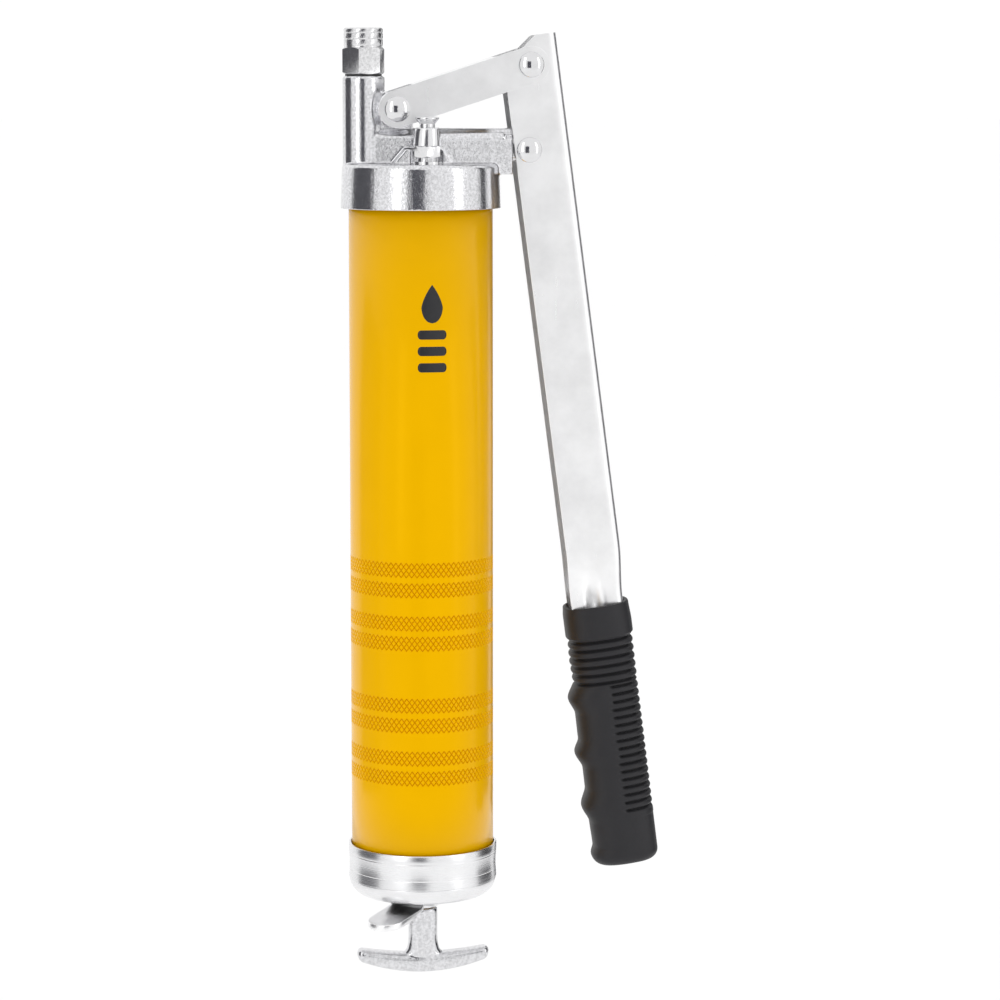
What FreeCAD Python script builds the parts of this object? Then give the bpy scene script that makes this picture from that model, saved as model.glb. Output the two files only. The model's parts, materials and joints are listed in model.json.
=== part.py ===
"""Lever grease gun with a cartridge barrel, as a FreeCAD document of separate pieces.

Frame: the origin is on the barrel's axis, at the middle of its knurled grip; +Z runs up to the
head, +X towards the lever, and -Y is the side with the air vent.
"""
import FreeCAD, Part
import os
import re
import Sketcher

Vector = FreeCAD.Vector
Rotation = FreeCAD.Rotation

# Driving dimensions, in millimetres and degrees.
SIZES = {
    # barrel
    "barrel_radius": 28.5,
    "barrel_wall": 1.2,
    "barrel_length": 280,
    "barrel_top": 194,
    # clearances
    "fit_gap": 0.15,
    "running_gap": 0.05,
    "free_gap": 0.4,
    # head casting
    "skirt_wall": 2.5,
    "skirt_draft": 0.6,
    "skirt_drop": 12.7,
    "cap_thickness": 3.8,
    "cap_edge": 1.6,
    "gasket_thickness": 1.2,
    "gasket_width": 2.7,
    "arm_half_width": 7.5,
    "arm_above_axis": 8.4,
    "arm_round": 4.5,
    "arm_chin": 1.3,
    "arm_collar_length": 3.2,
    "arm_collar_rise": 0.5,
    "tower_radius": 8.3,
    "tower_rise": 28.9,
    "tower_edge": 0.8,
    "lug_radius": 6.6,
    "lug_half_width": 5.5,
    "boss_base_half": 12,
    "boss_top_half": 7.1,
    "boss_rise": 5.7,
    "boss_reach": 16,
    "vent_recess_radius": 7.5,
    # pump
    "pump_height": 10.2,
    "pivot_reach": 42,
    "plunger_radius": 4.5,
    "plunger_length": 55,
    "plunger_eye_radius": 5.8,
    "pump_end_space": 3,
    "inlet_radius": 3.5,
    "inlet_x": 2,
    "packing_radius": 6.2,
    "packing_length": 5,
    "gland_length": 2.8,
    "passage_radius": 2.2,
    # outlet
    "outlet_x": -22.4,
    "ball_radius": 3,
    "check_bore": 4,
    "seat_above_axis": 7.8,
    "check_wire": 0.35,
    "check_coil": 2,
    "check_turns": 5,
    "shank_radius": 5,
    "shank_length": 8.5,
    "outlet_washer_thickness": 0.6,
    "outlet_hex_flats": 15,
    "outlet_hex_height": 10.4,
    "outlet_hex_turn": 14.5,
    "outlet_collar_radius": 7.7,
    "outlet_collar_height": 7.6,
    "outlet_groove": 0.2,
    "outlet_thread_radius": 4.5,
    "outlet_thread_length": 10,
    # air vent
    "vent_x": 1,
    "vent_y": -20,
    "vent_thread_radius": 4.2,
    "vent_washer_thickness": 1,
    "vent_neck_height": 1.6,
    "vent_hex_flats": 10,
    "vent_hex_height": 4.6,
    "vent_hex_turn": 24,
    "vent_taper_low": 5.6,
    "vent_taper_high": 4.9,
    "vent_taper_height": 6.9,
    "vent_chamber_radius": 3,
    "vent_stem_radius": 1.5,
    "vent_button_radius": 4.6,
    "vent_button_rise": 4.2,
    "vent_disc_radius": 3.4,
    "vent_disc_thickness": 1.5,
    "vent_press": 1.5,
    "vent_wire": 0.3,
    "vent_coil": 2.25,
    "vent_turns": 5,
    # link and pins
    "link_pivot_x": -10,
    "link_pivot_rise": 26.2,
    "link_half_height": 7.2,
    "link_sheet": 2,
    "link_web_start": 9,
    "link_web_stop": 12,
    "pin_radius": 2.5,
    "pin_head_radius": 5,
    "pin_head_height": 2.5,
    "pin_rim": 0.6,
    "pin_tail": 2,
    "clip_radius": 4.6,
    "clip_thickness": 0.8,
    "clip_groove": 0.4,
    # lever
    "lever_tilt": 7.4,
    "lever_half_depth": 10.5,
    "lever_sheet": 2,
    "lever_near": 5.6,
    "lever_far": 16.3,
    "lever_bend": 3,
    "lever_above": 44,
    "lever_pin_x": 4.77,
    "lever_pin_rise": 32.83,
    "lever_pin_play": 2.1,
    "lever_corner_x": 13.8,
    "lever_corner_rise": 10.4,
    "lever_below": 182.8,
    "tang_length": 92,
    "tang_near": 3.2,
    "tang_far": 13,
    "tang_half_depth": 8,
    # grip
    "grip_length": 106.8,
    "grip_middle": 3.8,
    "grip_half_width": 15,
    "grip_half_depth": 12.6,
    "grip_bump": 2.2,
    # follower, rod and handle
    "rod_radius": 4,
    "cup_height": 14,
    "cup_wall": 2.5,
    "cup_gap": 0.3,
    "cup_below_top": 12,
    "plate_thickness": 1.5,
    "plate_radius": 23.5,
    "nut_flats": 13,
    "nut_height": 5,
    "spring_wire": 1.1,
    "spring_coil": 21,
    "spring_turns": 14,
    # end cap
    "cap_bore_depth": 12.4,
    "cap_wall": 1.15,
    "cap_waist": 0.6,
    "cap_ledge": 3.4,
    "cap_shoulder": 7.5,
    "cap_cone_drop": 6,
    "hub_radius": 6.4,
    "hub_height": 1,
    "seat_thickness": 1.2,
    "bush_wall": 1.2,
    # lock plate
    "lock_heading": 234,
    "lock_half_width": 7.5,
    "lock_sheet": 1.2,
    "lock_inner": 9,
    "lock_step": 4.4,
    "lock_reach": 35,
    "lock_slope": 2.8,
    "lock_rim": 1.3,
    "lock_rim_start": 17,
    "lock_play": 0.5,
    "lock_spring_wire": 0.5,
    "lock_spring_coil": 5.6,
    "lock_spring_turns": 2.5,
    # handle
    "stem_radius": 5.85,
    "stem_gap": 0.4,
    "handle_drop": 27.4,
    "handle_half_length": 26.75,
    "handle_half_depth": 4.4,
    "handle_thickness": 7.8,
    "handle_low_arc": 71.4,
    "handle_high_arc": 171.4,
}

# Sizes and places that follow from the driving dimensions.
DERIVED = {
    "barrel_foot": "barrel_top - barrel_length",
    "barrel_bore": "barrel_radius - barrel_wall",
    "cap_bore": "barrel_radius + fit_gap",
    "ceiling": "barrel_top + gasket_thickness",
    "cap_top": "ceiling + cap_thickness",
    "skirt_foot": "barrel_top - skirt_drop",
    "skirt_radius": "barrel_radius + skirt_wall",
    "pump_axis": "barrel_top + pump_height",
    "arm_top": "pump_axis + arm_above_axis",
    "arm_foot": "pump_axis - arm_above_axis",
    "arm_end": "pivot_reach - plunger_eye_radius - free_gap",
    "tower_top": "pump_axis + tower_rise",
    "link_pivot_z": "barrel_top + link_pivot_rise",
    "plunger_tip": "pivot_reach - plunger_length",
    "pump_bore": "plunger_radius + running_gap",
    "seat_z": "pump_axis + seat_above_axis",
    "ball_rise": "sqrt(ball_radius * ball_radius - passage_radius * passage_radius) + running_gap",
    "ball_z": "seat_z + ball_rise",
    "shank_foot": "tower_top - shank_length",
    "hex_foot": "tower_top + outlet_washer_thickness",
    "hex_top": "hex_foot + outlet_hex_height",
    "outlet_top": "hex_top + outlet_collar_height",
    "vent_neck_foot": "cap_top + vent_washer_thickness",
    "vent_hex_foot": "vent_neck_foot + vent_neck_height",
    "vent_hex_top": "vent_hex_foot + vent_hex_height",
    "vent_top": "vent_hex_top + vent_taper_height",
    "vent_foot": "ceiling - 0.2",
    "vent_chamber_foot": "vent_hex_foot + 1.4",
    "vent_guide_foot": "vent_top - 2 * vent_press",
    "lever_pin_dx": "lever_pin_x * cos(lever_tilt) - lever_pin_rise * sin(lever_tilt)",
    "lever_pin_dz": "lever_pin_x * sin(lever_tilt) + lever_pin_rise * cos(lever_tilt)",
    "link_dx": "pivot_reach + lever_pin_dx - link_pivot_x",
    "link_dz": "pump_axis + lever_pin_dz - link_pivot_z",
    "link_length": "hypot(link_dx; link_dz)",
    "link_tilt": "atan2(link_dz; link_dx)",
    "link_inner": "lever_half_depth + free_gap",
    "link_outer": "link_inner + link_sheet",
    "pin_bore": "pin_radius + running_gap",
    "dome_rise": "pin_head_height - pin_rim",
    "dome_radius": "(pin_head_radius * pin_head_radius + dome_rise * dome_rise) / (2 * dome_rise)",
    "lever_inner": "lever_half_depth - lever_sheet",
    "grip_top": "-lever_below - 1",
    "grip_foot": "grip_top - grip_length",
    "cup_top": "barrel_top - cup_below_top",
    "cup_foot": "cup_top - cup_height",
    "back_plate_foot": "cup_foot - plate_thickness",
    "cup_radius": "barrel_bore - cup_gap",
    "front_plate_top": "cup_foot + cup_wall + plate_thickness",
    "rod_top": "front_plate_top + nut_height + 1",
    "cap_lip": "barrel_foot + cap_bore_depth",
    "cap_radius": "cap_bore + cap_wall",
    "ledge_z": "barrel_foot - cap_ledge",
    "shoulder_z": "barrel_foot - cap_shoulder",
    "cone_foot": "shoulder_z - cap_cone_drop",
    "hub_foot": "cone_foot - hub_height",
    "seat_top": "ledge_z + seat_thickness",
    "rod_bore": "rod_radius + running_gap",
    "bush_radius": "rod_bore + bush_wall",
    "inner_cone_top": "shoulder_z + 1.8",
    "inner_cone_foot": "cone_foot + 2.2",
    "lock_z": "cone_foot + 4.3",
    "lock_bore": "rod_radius + lock_play",
    "lock_tip_z": "lock_z - lock_step - lock_slope",
    "lock_spring_foot": "lock_z + lock_sheet",
    "handle_low": "hub_foot - handle_drop",
    "handle_top": "handle_low + handle_thickness",
    "stem_top": "hub_foot - stem_gap",
}

doc = FreeCAD.newDocument("grease_gun")
sheet = doc.addObject("Spreadsheet::Sheet", "dims")
for row, (alias, size) in enumerate(SIZES.items(), start=1):
    sheet.set(f"A{row}", alias)
    sheet.set(f"B{row}", str(size))
    sheet.setAlias(f"B{row}", alias)
doc.recompute()

WORD = re.compile(r"[A-Za-z_][A-Za-z_0-9]*")
TURNS = {
    "Z": Rotation(),
    "X": Rotation(Vector(0, 1, 0), 90),
    "Y": Rotation(Vector(1, 0, 0), -90),
}
SIDE_VIEW = Rotation(Vector(1, 0, 0), 90)
ORIGIN = (0, 0, 0)
PAST = 5                                   # how far a cutting tool reaches past what it cuts

subparts = []


def bound(text):
    """An expression in which every named size points at its cell."""
    def swap(match):
        word = match.group(0)
        if word in DERIVED:
            return "(" + bound(DERIVED[word]) + ")"
        if word in SIZES:
            return "dims." + word
        return word
    return WORD.sub(swap, str(text))


def value(text):
    """The number that an expression comes to."""
    answer = sheet.evalExpression(bound(text))
    return float(getattr(answer, "Value", answer))


def place(item, at=ORIGIN, turn=None):
    """Put an item at a point given by expressions, with a fixed turn."""
    item.Placement = FreeCAD.Placement(Vector(*(value(part) for part in at)), turn or Rotation())
    for axis, part in zip("xyz", at):
        item.setExpression(f"Placement.Base.{axis}", bound(part))
    return item


def solid(kind, label, at=ORIGIN, axis="Z", **sizes):
    """A primitive whose sizes are expressions, with its own axis along X, Y or Z."""
    item = doc.addObject("Part::" + kind, label)
    for name, text in sizes.items():
        item.setExpression(name, bound(text))
    return place(item, at, TURNS[axis])


def rod(label, radius, length, at=ORIGIN, axis="Z"):
    return solid("Cylinder", label, at, axis, Radius=radius, Height=length)


def block(label, low, high):
    """A box between two corners."""
    spans = [f"({top}) - ({foot})" for foot, top in zip(low, high)]
    return solid("Box", label, low, Length=spans[0], Width=spans[1], Height=spans[2])


def fuse(label, *items):
    item = doc.addObject("Part::MultiFuse", label)
    item.Shapes = list(items)
    item.Refine = True
    return item


def cut(label, base, *tools):
    item = doc.addObject("Part::Cut", label)
    item.Base = base
    item.Tool = tools[0] if len(tools) == 1 else fuse(label + "_tools", *tools)
    item.Refine = True
    return item


def common(label, *items):
    item = doc.addObject("Part::MultiCommon", label)
    item.Shapes = list(items)
    return item


def outline(sketch, points):
    """A closed polygon whose corners are fixed by expressions."""
    corners = [Vector(value(across), value(up), 0) for across, up in points]
    last = len(points) - 1
    for index, corner in enumerate(corners):
        following = corners[0 if index == last else index + 1]
        sketch.addGeometry(Part.LineSegment(corner, following), False)
    for index, (across, up) in enumerate(points):
        sketch.addConstraint(Sketcher.Constraint("Coincident", index - 1 if index else last, 2, index, 1))
        for kind, text, number in (("DistanceX", across, corners[index].x),
                                   ("DistanceY", up, corners[index].y)):
            row = sketch.addConstraint(Sketcher.Constraint(kind, -1, 1, index, 1, number))
            sketch.setExpression(f"Constraints[{row}]", bound(text))


def turned(label, points, at=ORIGIN, axis="Z"):
    """A lathe-turned body: a half section of (radius, height) corners, spun about its axis."""
    body = doc.addObject("PartDesign::Body", label)
    sketch = body.newObject("Sketcher::SketchObject", label + "_section")
    plane = next(item for item in body.Origin.OriginFeatures if item.Role == "XZ_Plane")
    sketch.AttachmentSupport = (plane, [""])
    sketch.MapMode = "FlatFace"
    outline(sketch, points)
    spin = body.newObject("PartDesign::Revolution", label + "_spin")
    spin.Profile = (sketch, [""])
    spin.ReferenceAxis = (sketch, ["V_Axis"])
    spin.Angle = 360
    return place(body, at, TURNS[axis])


def slab(label, points, half_width, at=ORIGIN):
    """A side-view outline of (x, z) corners, as thick as half_width each side of Y = 0."""
    sketch = doc.addObject("Sketcher::SketchObject", label + "_outline")
    sketch.Placement = FreeCAD.Placement(Vector(), SIDE_VIEW)
    outline(sketch, points)
    item = doc.addObject("Part::Extrusion", label)
    item.Base = sketch
    item.DirMode = "Normal"
    item.Solid = True
    item.Symmetric = True
    item.setExpression("LengthFwd", bound(f"2 * ({half_width})"))
    return place(item, at)


def hexagon(label, flats, height, turn, at=ORIGIN):
    """A hexagonal bar with its corners eased, turned about Z by an angle in degrees."""
    bar = solid("Prism", label + "_bar", Circumradius=f"({flats}) / sqrt(3)", Height=height)
    bar.Polygon = 6
    ease = turned(label + "_ease", [
        (0, 0),
        (f"({flats}) / 2", 0),
        (f"({flats}) / sqrt(3)", f"({flats}) / 20"),
        (f"({flats}) / sqrt(3)", f"({height}) - ({flats}) / 20"),
        (f"({flats}) / 2", height),
        (0, height),
    ])
    item = common(label, bar, ease)
    place(item, at, Rotation(Vector(0, 0, 1), 1))
    item.setExpression("Placement.Rotation.Angle", bound(turn))
    return item


def coil(label, radius, wire, turns, foot, top, at_x="0", at_y="0"):
    """A round-wire spring that fills the space between foot and top."""
    spine = doc.addObject("Part::Helix", label + "_line")
    height = f"({top}) - ({foot}) - 2 * ({wire})"
    spine.setExpression("Height", bound(height))
    spine.setExpression("Pitch", bound(f"({height}) / ({turns})"))
    spine.setExpression("Radius", bound(radius))
    ring = doc.addObject("Part::Circle", label + "_wire")
    ring.setExpression("Radius", bound(wire))
    place(ring, (radius, 0, 0), TURNS["Y"])
    item = doc.addObject("Part::Sweep", label)
    item.Sections = [ring]
    item.Spine = (spine, ["Edge1"])
    item.Solid = True
    item.Frenet = True
    return place(item, (at_x, at_y, f"({foot}) + ({wire})"))


def keep(item, node):
    """Name an item as one finished piece."""
    item.Label = node
    subparts.append(item)
    return item


def barrel():
    keep(turned("barrel_tube", [
        ("barrel_bore", "barrel_foot"),
        ("barrel_radius", "barrel_foot"),
        ("barrel_radius", "barrel_top"),
        ("barrel_bore", "barrel_top"),
    ]), "barrel")


def head_casting():
    cap = turned("head_cap", [
        (0, "ceiling"),
        ("cap_bore", "ceiling"),
        ("cap_bore", "skirt_foot"),
        ("skirt_radius + skirt_draft", "skirt_foot"),
        ("skirt_radius", "cap_top - cap_edge"),
        ("skirt_radius - cap_edge * 0.4", "cap_top - cap_edge * 0.4"),
        ("skirt_radius - cap_edge", "cap_top"),
        (0, "cap_top"),
    ])
    tower = turned("head_tower", [
        (0, "cap_top - cap_thickness / 2"),
        ("tower_radius", "cap_top - cap_thickness / 2"),
        ("tower_radius", "tower_top - tower_edge"),
        ("tower_radius - tower_edge", "tower_top"),
        (0, "tower_top"),
    ], at=("outlet_x", 0, 0))
    arm = fuse(
        "head_arm",
        block("arm_sides", ("outlet_x", "-arm_half_width", "arm_foot"),
              ("arm_end", "arm_half_width", "arm_top - arm_round")),
        block("arm_crown", ("outlet_x", "arm_round - arm_half_width", "arm_foot"),
              ("arm_end", "arm_half_width - arm_round", "arm_top")),
        *[rod(f"arm_edge_{number}", "arm_round", "arm_end - outlet_x",
              ("outlet_x", f"{side} * (arm_half_width - arm_round)", "arm_top - arm_round"), "X")
          for number, side in enumerate((-1, 1))])
    chin = block("arm_chin", ("skirt_radius - skirt_wall / 2", "-arm_half_width", "arm_foot - arm_chin"),
                 ("arm_end", "arm_half_width", "pump_axis"))
    collar = block("arm_collar",
                   ("arm_end - arm_collar_length", "-arm_half_width - arm_collar_rise",
                    "arm_top - arm_round"),
                   ("arm_end", "arm_half_width + arm_collar_rise", "arm_top - arm_round / 2"))
    lug = fuse(
        "head_lug",
        block("lug_web", ("outlet_x", "-lug_half_width", "pump_axis"),
              ("link_pivot_x + lug_radius", "lug_half_width", "link_pivot_z")),
        block("lug_back", ("outlet_x", "-lug_half_width", "pump_axis"),
              ("link_pivot_x", "lug_half_width", "link_pivot_z + lug_radius")),
        rod("lug_eye", "lug_radius", "2 * link_inner - free_gap",
            ("link_pivot_x", "free_gap / 2 - link_inner", "link_pivot_z"), "Y"))
    boss = cut(
        "vent_boss",
        slab("boss_block", [
            ("-boss_base_half", "ceiling + cap_thickness / 2"),
            ("boss_base_half", "ceiling + cap_thickness / 2"),
            ("boss_base_half", "cap_top"),
            ("boss_top_half", "cap_top + boss_rise"),
            ("-boss_top_half", "cap_top + boss_rise"),
            ("-boss_base_half", "cap_top"),
        ], "boss_reach"),
        block("boss_half", ("-boss_base_half - 1", 0, "ceiling"),
              ("boss_base_half + 1", "boss_reach + 1", "cap_top + boss_rise + 1")),
        rod("vent_recess", "vent_recess_radius", "2 * boss_rise", ("vent_x", "vent_y", "cap_top")))
    keep(cut(
        "head_cut",
        fuse("head_solid", cap, tower, arm, chin, collar, lug, boss),
        rod("pump_bore_hole", "pump_bore", f"arm_end - plunger_tip + pump_end_space + {PAST}",
            ("plunger_tip - pump_end_space", 0, "pump_axis"), "X"),
        rod("packing_hole", "packing_radius + running_gap", f"packing_length + gland_length + {PAST}",
            ("arm_end - packing_length - gland_length", 0, "pump_axis"), "X"),
        rod("outlet_way", "passage_radius", "plunger_tip - pump_end_space - outlet_x + 1",
            ("outlet_x", 0, "pump_axis"), "X"),
        rod("tower_way", "passage_radius", "seat_above_axis + 1", ("outlet_x", 0, "pump_axis")),
        rod("check_chamber", "check_bore", "shank_foot - seat_z + 1", ("outlet_x", 0, "seat_z")),
        rod("tower_thread", "shank_radius + running_gap", f"shank_length + {PAST}",
            ("outlet_x", 0, "shank_foot")),
        rod("inlet_way", "inlet_radius", "pump_axis - ceiling + 1", ("inlet_x", 0, "ceiling - 1")),
        rod("vent_thread", "vent_thread_radius + running_gap", "2 * cap_thickness",
            ("vent_x", "vent_y", "ceiling - 1")),
        rod("lug_hole", "pin_bore", "2 * link_outer", ("link_pivot_x", "-link_outer", "link_pivot_z"), "Y"),
    ), "head_casting")
    keep(turned("gasket_ring", [
        ("cap_bore - 0.2 - gasket_width", "barrel_top"),
        ("cap_bore - 0.2", "barrel_top"),
        ("cap_bore - 0.2", "ceiling"),
        ("cap_bore - 0.2 - gasket_width", "ceiling"),
    ]), "head_gasket")


def outlet():
    """The threaded adapter on the tower, its washer, and the check valve under it."""
    adapter = fuse(
        "adapter_solid",
        hexagon("adapter_hex", "outlet_hex_flats", "outlet_hex_height", "outlet_hex_turn",
                ("outlet_x", 0, "hex_foot")),
        turned("adapter_round", [
            (0, "shank_foot"),
            ("shank_radius", "shank_foot"),
            ("shank_radius", "hex_foot + 1"),
            ("outlet_collar_radius - outlet_groove", "hex_foot + 1"),
            ("outlet_collar_radius - outlet_groove", "hex_top + 0.6"),
            ("outlet_collar_radius", "hex_top + 1"),
            ("outlet_collar_radius", "hex_top + 3"),
            ("outlet_collar_radius - outlet_groove", "hex_top + 3.3"),
            ("outlet_collar_radius", "hex_top + 3.6"),
            ("outlet_collar_radius", "hex_top + 5.4"),
            ("outlet_collar_radius - outlet_groove", "hex_top + 5.7"),
            ("outlet_collar_radius", "hex_top + 6"),
            ("outlet_collar_radius", "outlet_top - 0.5"),
            ("outlet_collar_radius - 0.5", "outlet_top"),
            (0, "outlet_top"),
        ], at=("outlet_x", 0, 0)))
    keep(cut(
        "adapter_cut", adapter,
        rod("adapter_way", "passage_radius", "outlet_top - shank_foot + 2",
            ("outlet_x", 0, "shank_foot - 1")),
        rod("adapter_thread", "outlet_thread_radius", f"outlet_thread_length + {PAST}",
            ("outlet_x", 0, "outlet_top - outlet_thread_length")),
    ), "outlet_adapter")
    keep(turned("washer_ring", [
        ("shank_radius + running_gap", "tower_top"),
        ("outlet_hex_flats / 2 - 0.3", "tower_top"),
        ("outlet_hex_flats / 2 - 0.3", "hex_foot"),
        ("shank_radius + running_gap", "hex_foot"),
    ], at=("outlet_x", 0, 0)), "outlet_washer")
    keep(solid("Sphere", "check_sphere", ("outlet_x", 0, "ball_z"), Radius="ball_radius"), "check_ball")
    keep(coil("check_coil_spring", "check_coil", "check_wire", "check_turns",
              "ball_z + ball_radius", "shank_foot", "outlet_x"), "check_spring")


def air_vent():
    """The vent valve on the cap: a hexagonal body with a sprung stem that is pressed down."""
    centre = ("vent_x", "vent_y", 0)
    shell = fuse(
        "vent_solid",
        hexagon("vent_hex", "vent_hex_flats", "vent_hex_height", "vent_hex_turn",
                ("vent_x", "vent_y", "vent_hex_foot")),
        turned("vent_round", [
            (0, "vent_foot"),
            ("vent_thread_radius", "vent_foot"),
            ("vent_thread_radius", "vent_hex_foot + 1"),
            ("vent_thread_radius + 0.2", "vent_hex_top - 1"),
            ("vent_taper_low - 0.6", "vent_hex_top - 0.5"),
            ("vent_taper_low", "vent_hex_top"),
            ("vent_taper_high", "vent_top - 0.4"),
            ("vent_taper_high - 0.4", "vent_top"),
            (0, "vent_top"),
        ], at=centre))
    keep(cut(
        "vent_cut", shell,
        rod("vent_way", "vent_stem_radius + running_gap", "vent_top - vent_foot + 2",
            ("vent_x", "vent_y", "vent_foot - 1")),
        rod("vent_chamber", "vent_chamber_radius", f"vent_top - vent_chamber_foot + {PAST}",
            ("vent_x", "vent_y", "vent_chamber_foot")),
    ), "vent_valve_body")
    keep(turned("vent_ring", [
        ("vent_thread_radius + running_gap", "cap_top"),
        ("vent_taper_low", "cap_top"),
        ("vent_taper_low", "vent_neck_foot"),
        ("vent_thread_radius + running_gap", "vent_neck_foot"),
    ], at=centre), "vent_washer")
    keep(turned("vent_pin", [
        (0, "vent_foot - 0.1 - vent_disc_thickness"),
        ("vent_disc_radius", "vent_foot - 0.1 - vent_disc_thickness"),
        ("vent_disc_radius", "vent_foot - 0.1"),
        ("vent_stem_radius", "vent_foot - 0.1"),
        ("vent_stem_radius", "vent_guide_foot"),
        ("vent_chamber_radius - running_gap", "vent_guide_foot"),
        ("vent_chamber_radius - running_gap", "vent_top + vent_press"),
        ("vent_button_radius - 0.5", "vent_top + vent_button_rise - 1.4"),
        ("vent_button_radius", "vent_top + vent_button_rise - 0.8"),
        ("vent_button_radius", "vent_top + vent_button_rise - 0.3"),
        ("vent_button_radius - 0.4", "vent_top + vent_button_rise"),
        (0, "vent_top + vent_button_rise"),
    ], at=centre), "vent_stem")
    keep(coil("vent_coil_spring", "vent_coil", "vent_wire", "vent_turns",
              "vent_chamber_foot", "vent_guide_foot", "vent_x", "vent_y"), "vent_spring")


def pump():
    """The plunger in the arm, with its packing and gland."""
    shaft = turned("plunger_shaft", [
        (0, 0),
        ("plunger_radius - 0.6", 0),
        ("plunger_radius", 0.6),
        ("plunger_radius", "plunger_length"),
        (0, "plunger_length"),
    ], at=("plunger_tip", 0, "pump_axis"), axis="X")
    eye = rod("plunger_eye", "plunger_eye_radius", "2 * lever_inner - free_gap * 1.5",
              ("pivot_reach", "free_gap * 0.75 - lever_inner", "pump_axis"), "Y")
    keep(cut(
        "plunger_cut", fuse("plunger_solid", shaft, eye),
        rod("plunger_eye_hole", "pin_radius + 0.02", "2 * lever_inner",
            ("pivot_reach", "-lever_inner", "pump_axis"), "Y"),
    ), "plunger")
    packing_foot = "arm_end - packing_length - gland_length"
    for node, foot, length in (("plunger_packing", packing_foot, "packing_length"),
                               ("gland_nut", "arm_end - gland_length", "gland_length")):
        keep(turned(node + "_ring", [
            ("pump_bore", 0),
            ("packing_radius", 0),
            ("packing_radius", length),
            ("pump_bore", length),
        ], at=(foot, 0, "pump_axis"), axis="X"), node)


def pin(node, half_span, at_x, at_z):
    """A pivot pin along Y: a domed head in front and a groove for its clip behind."""
    head = common(
        node + "_head",
        rod(node + "_rim", "pin_head_radius", "pin_head_height", (0, 0, "-pin_head_height")),
        solid("Sphere", node + "_dome", (0, 0, "dome_radius - pin_head_height"), Radius="dome_radius"))
    span = f"2 * ({half_span})"
    shank = turned(node + "_shank", [
        (0, -0.5),
        ("pin_radius", -0.5),
        ("pin_radius", f"{span} + 0.1"),
        ("pin_radius - clip_groove", f"{span} + 0.1"),
        ("pin_radius - clip_groove", f"{span} + 0.2 + clip_thickness"),
        ("pin_radius", f"{span} + 0.2 + clip_thickness"),
        ("pin_radius", f"{span} + pin_tail - 0.3"),
        ("pin_radius - 0.3", f"{span} + pin_tail"),
        (0, f"{span} + pin_tail"),
    ])
    keep(place(fuse(node + "_solid", head, shank), (at_x, f"-({half_span})", at_z), TURNS["Y"]), node)


def clip(label, half_span, at_x, at_z):
    """An open spring clip in a pin's groove."""
    foot = f"({half_span}) + 0.15"
    inner = "pin_radius - clip_groove + 0.02"
    return cut(
        label,
        rod(label + "_disc", "clip_radius", "clip_thickness", (at_x, foot, at_z), "Y"),
        rod(label + "_bore", inner, "3 * clip_thickness", (at_x, f"{foot} - clip_thickness", at_z), "Y"),
        block(label + "_mouth",
              (at_x, f"{foot} - clip_thickness", f"({at_z}) - ({inner})"),
              (f"({at_x}) + 2 * clip_radius", f"{foot} + 2 * clip_thickness", f"({at_z}) + ({inner})")))


def pins_and_clips():
    joint_x = "pivot_reach + lever_pin_dx"
    joint_z = "pump_axis + lever_pin_dz"
    pin("link_head_pin", "link_outer", "link_pivot_x", "link_pivot_z")
    pin("link_lever_pin", "link_outer", joint_x, joint_z)
    pin("plunger_pin", "lever_half_depth + 0.1", "pivot_reach", "pump_axis")
    keep(fuse("link_clip_pair",
              clip("link_clip_head", "link_outer", "link_pivot_x", "link_pivot_z"),
              clip("link_clip_lever", "link_outer", joint_x, joint_z)), "link_clips")
    keep(clip("plunger_clip_ring", "lever_half_depth + 0.1", "pivot_reach", "pump_axis"), "plunger_clip")


def link():
    """The folded link, drawn along X from its head pivot and then tilted into place."""
    blank = fuse(
        "link_blank",
        block("link_bar", (0, "-link_outer", "-link_half_height"),
              ("link_length", "link_outer", "link_half_height")),
        *[rod(f"link_round_{number}", "link_half_height", "2 * link_outer", (at_x, "-link_outer", 0), "Y")
          for number, at_x in enumerate((0, "link_length"))])
    beyond = "2 * link_half_height"
    item = cut(
        "link_cut", blank,
        block("link_inside", (f"-({beyond})", "-link_inner", f"-({beyond})"),
              (f"link_length + {beyond}", "link_inner", "link_half_height - link_sheet")),
        block("link_open_head", (f"-({beyond})", "-link_inner", 0), ("link_web_start", "link_inner", beyond)),
        block("link_open_lever", ("link_length - link_web_stop", "-link_inner", 0),
              (f"link_length + {beyond}", "link_inner", beyond)),
        *[rod(f"link_hole_{number}", "pin_radius + 0.02", "3 * link_outer",
              (at_x, "-1.5 * link_outer", 0), "Y")
          for number, at_x in enumerate((0, "link_length"))])
    place(item, ("link_pivot_x", 0, "link_pivot_z"), Rotation(Vector(0, -1, 0), 1))
    item.setExpression("Placement.Rotation.Angle", bound("link_tilt"))
    keep(item, "link")


def on_lever(item):
    """Move a piece drawn about the plunger pivot to where the tilted lever carries it."""
    place(item, ("pivot_reach", 0, "pump_axis"), Rotation(Vector(0, -1, 0), 1))
    item.setExpression("Placement.Rotation.Angle", bound("lever_tilt"))
    return item


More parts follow.
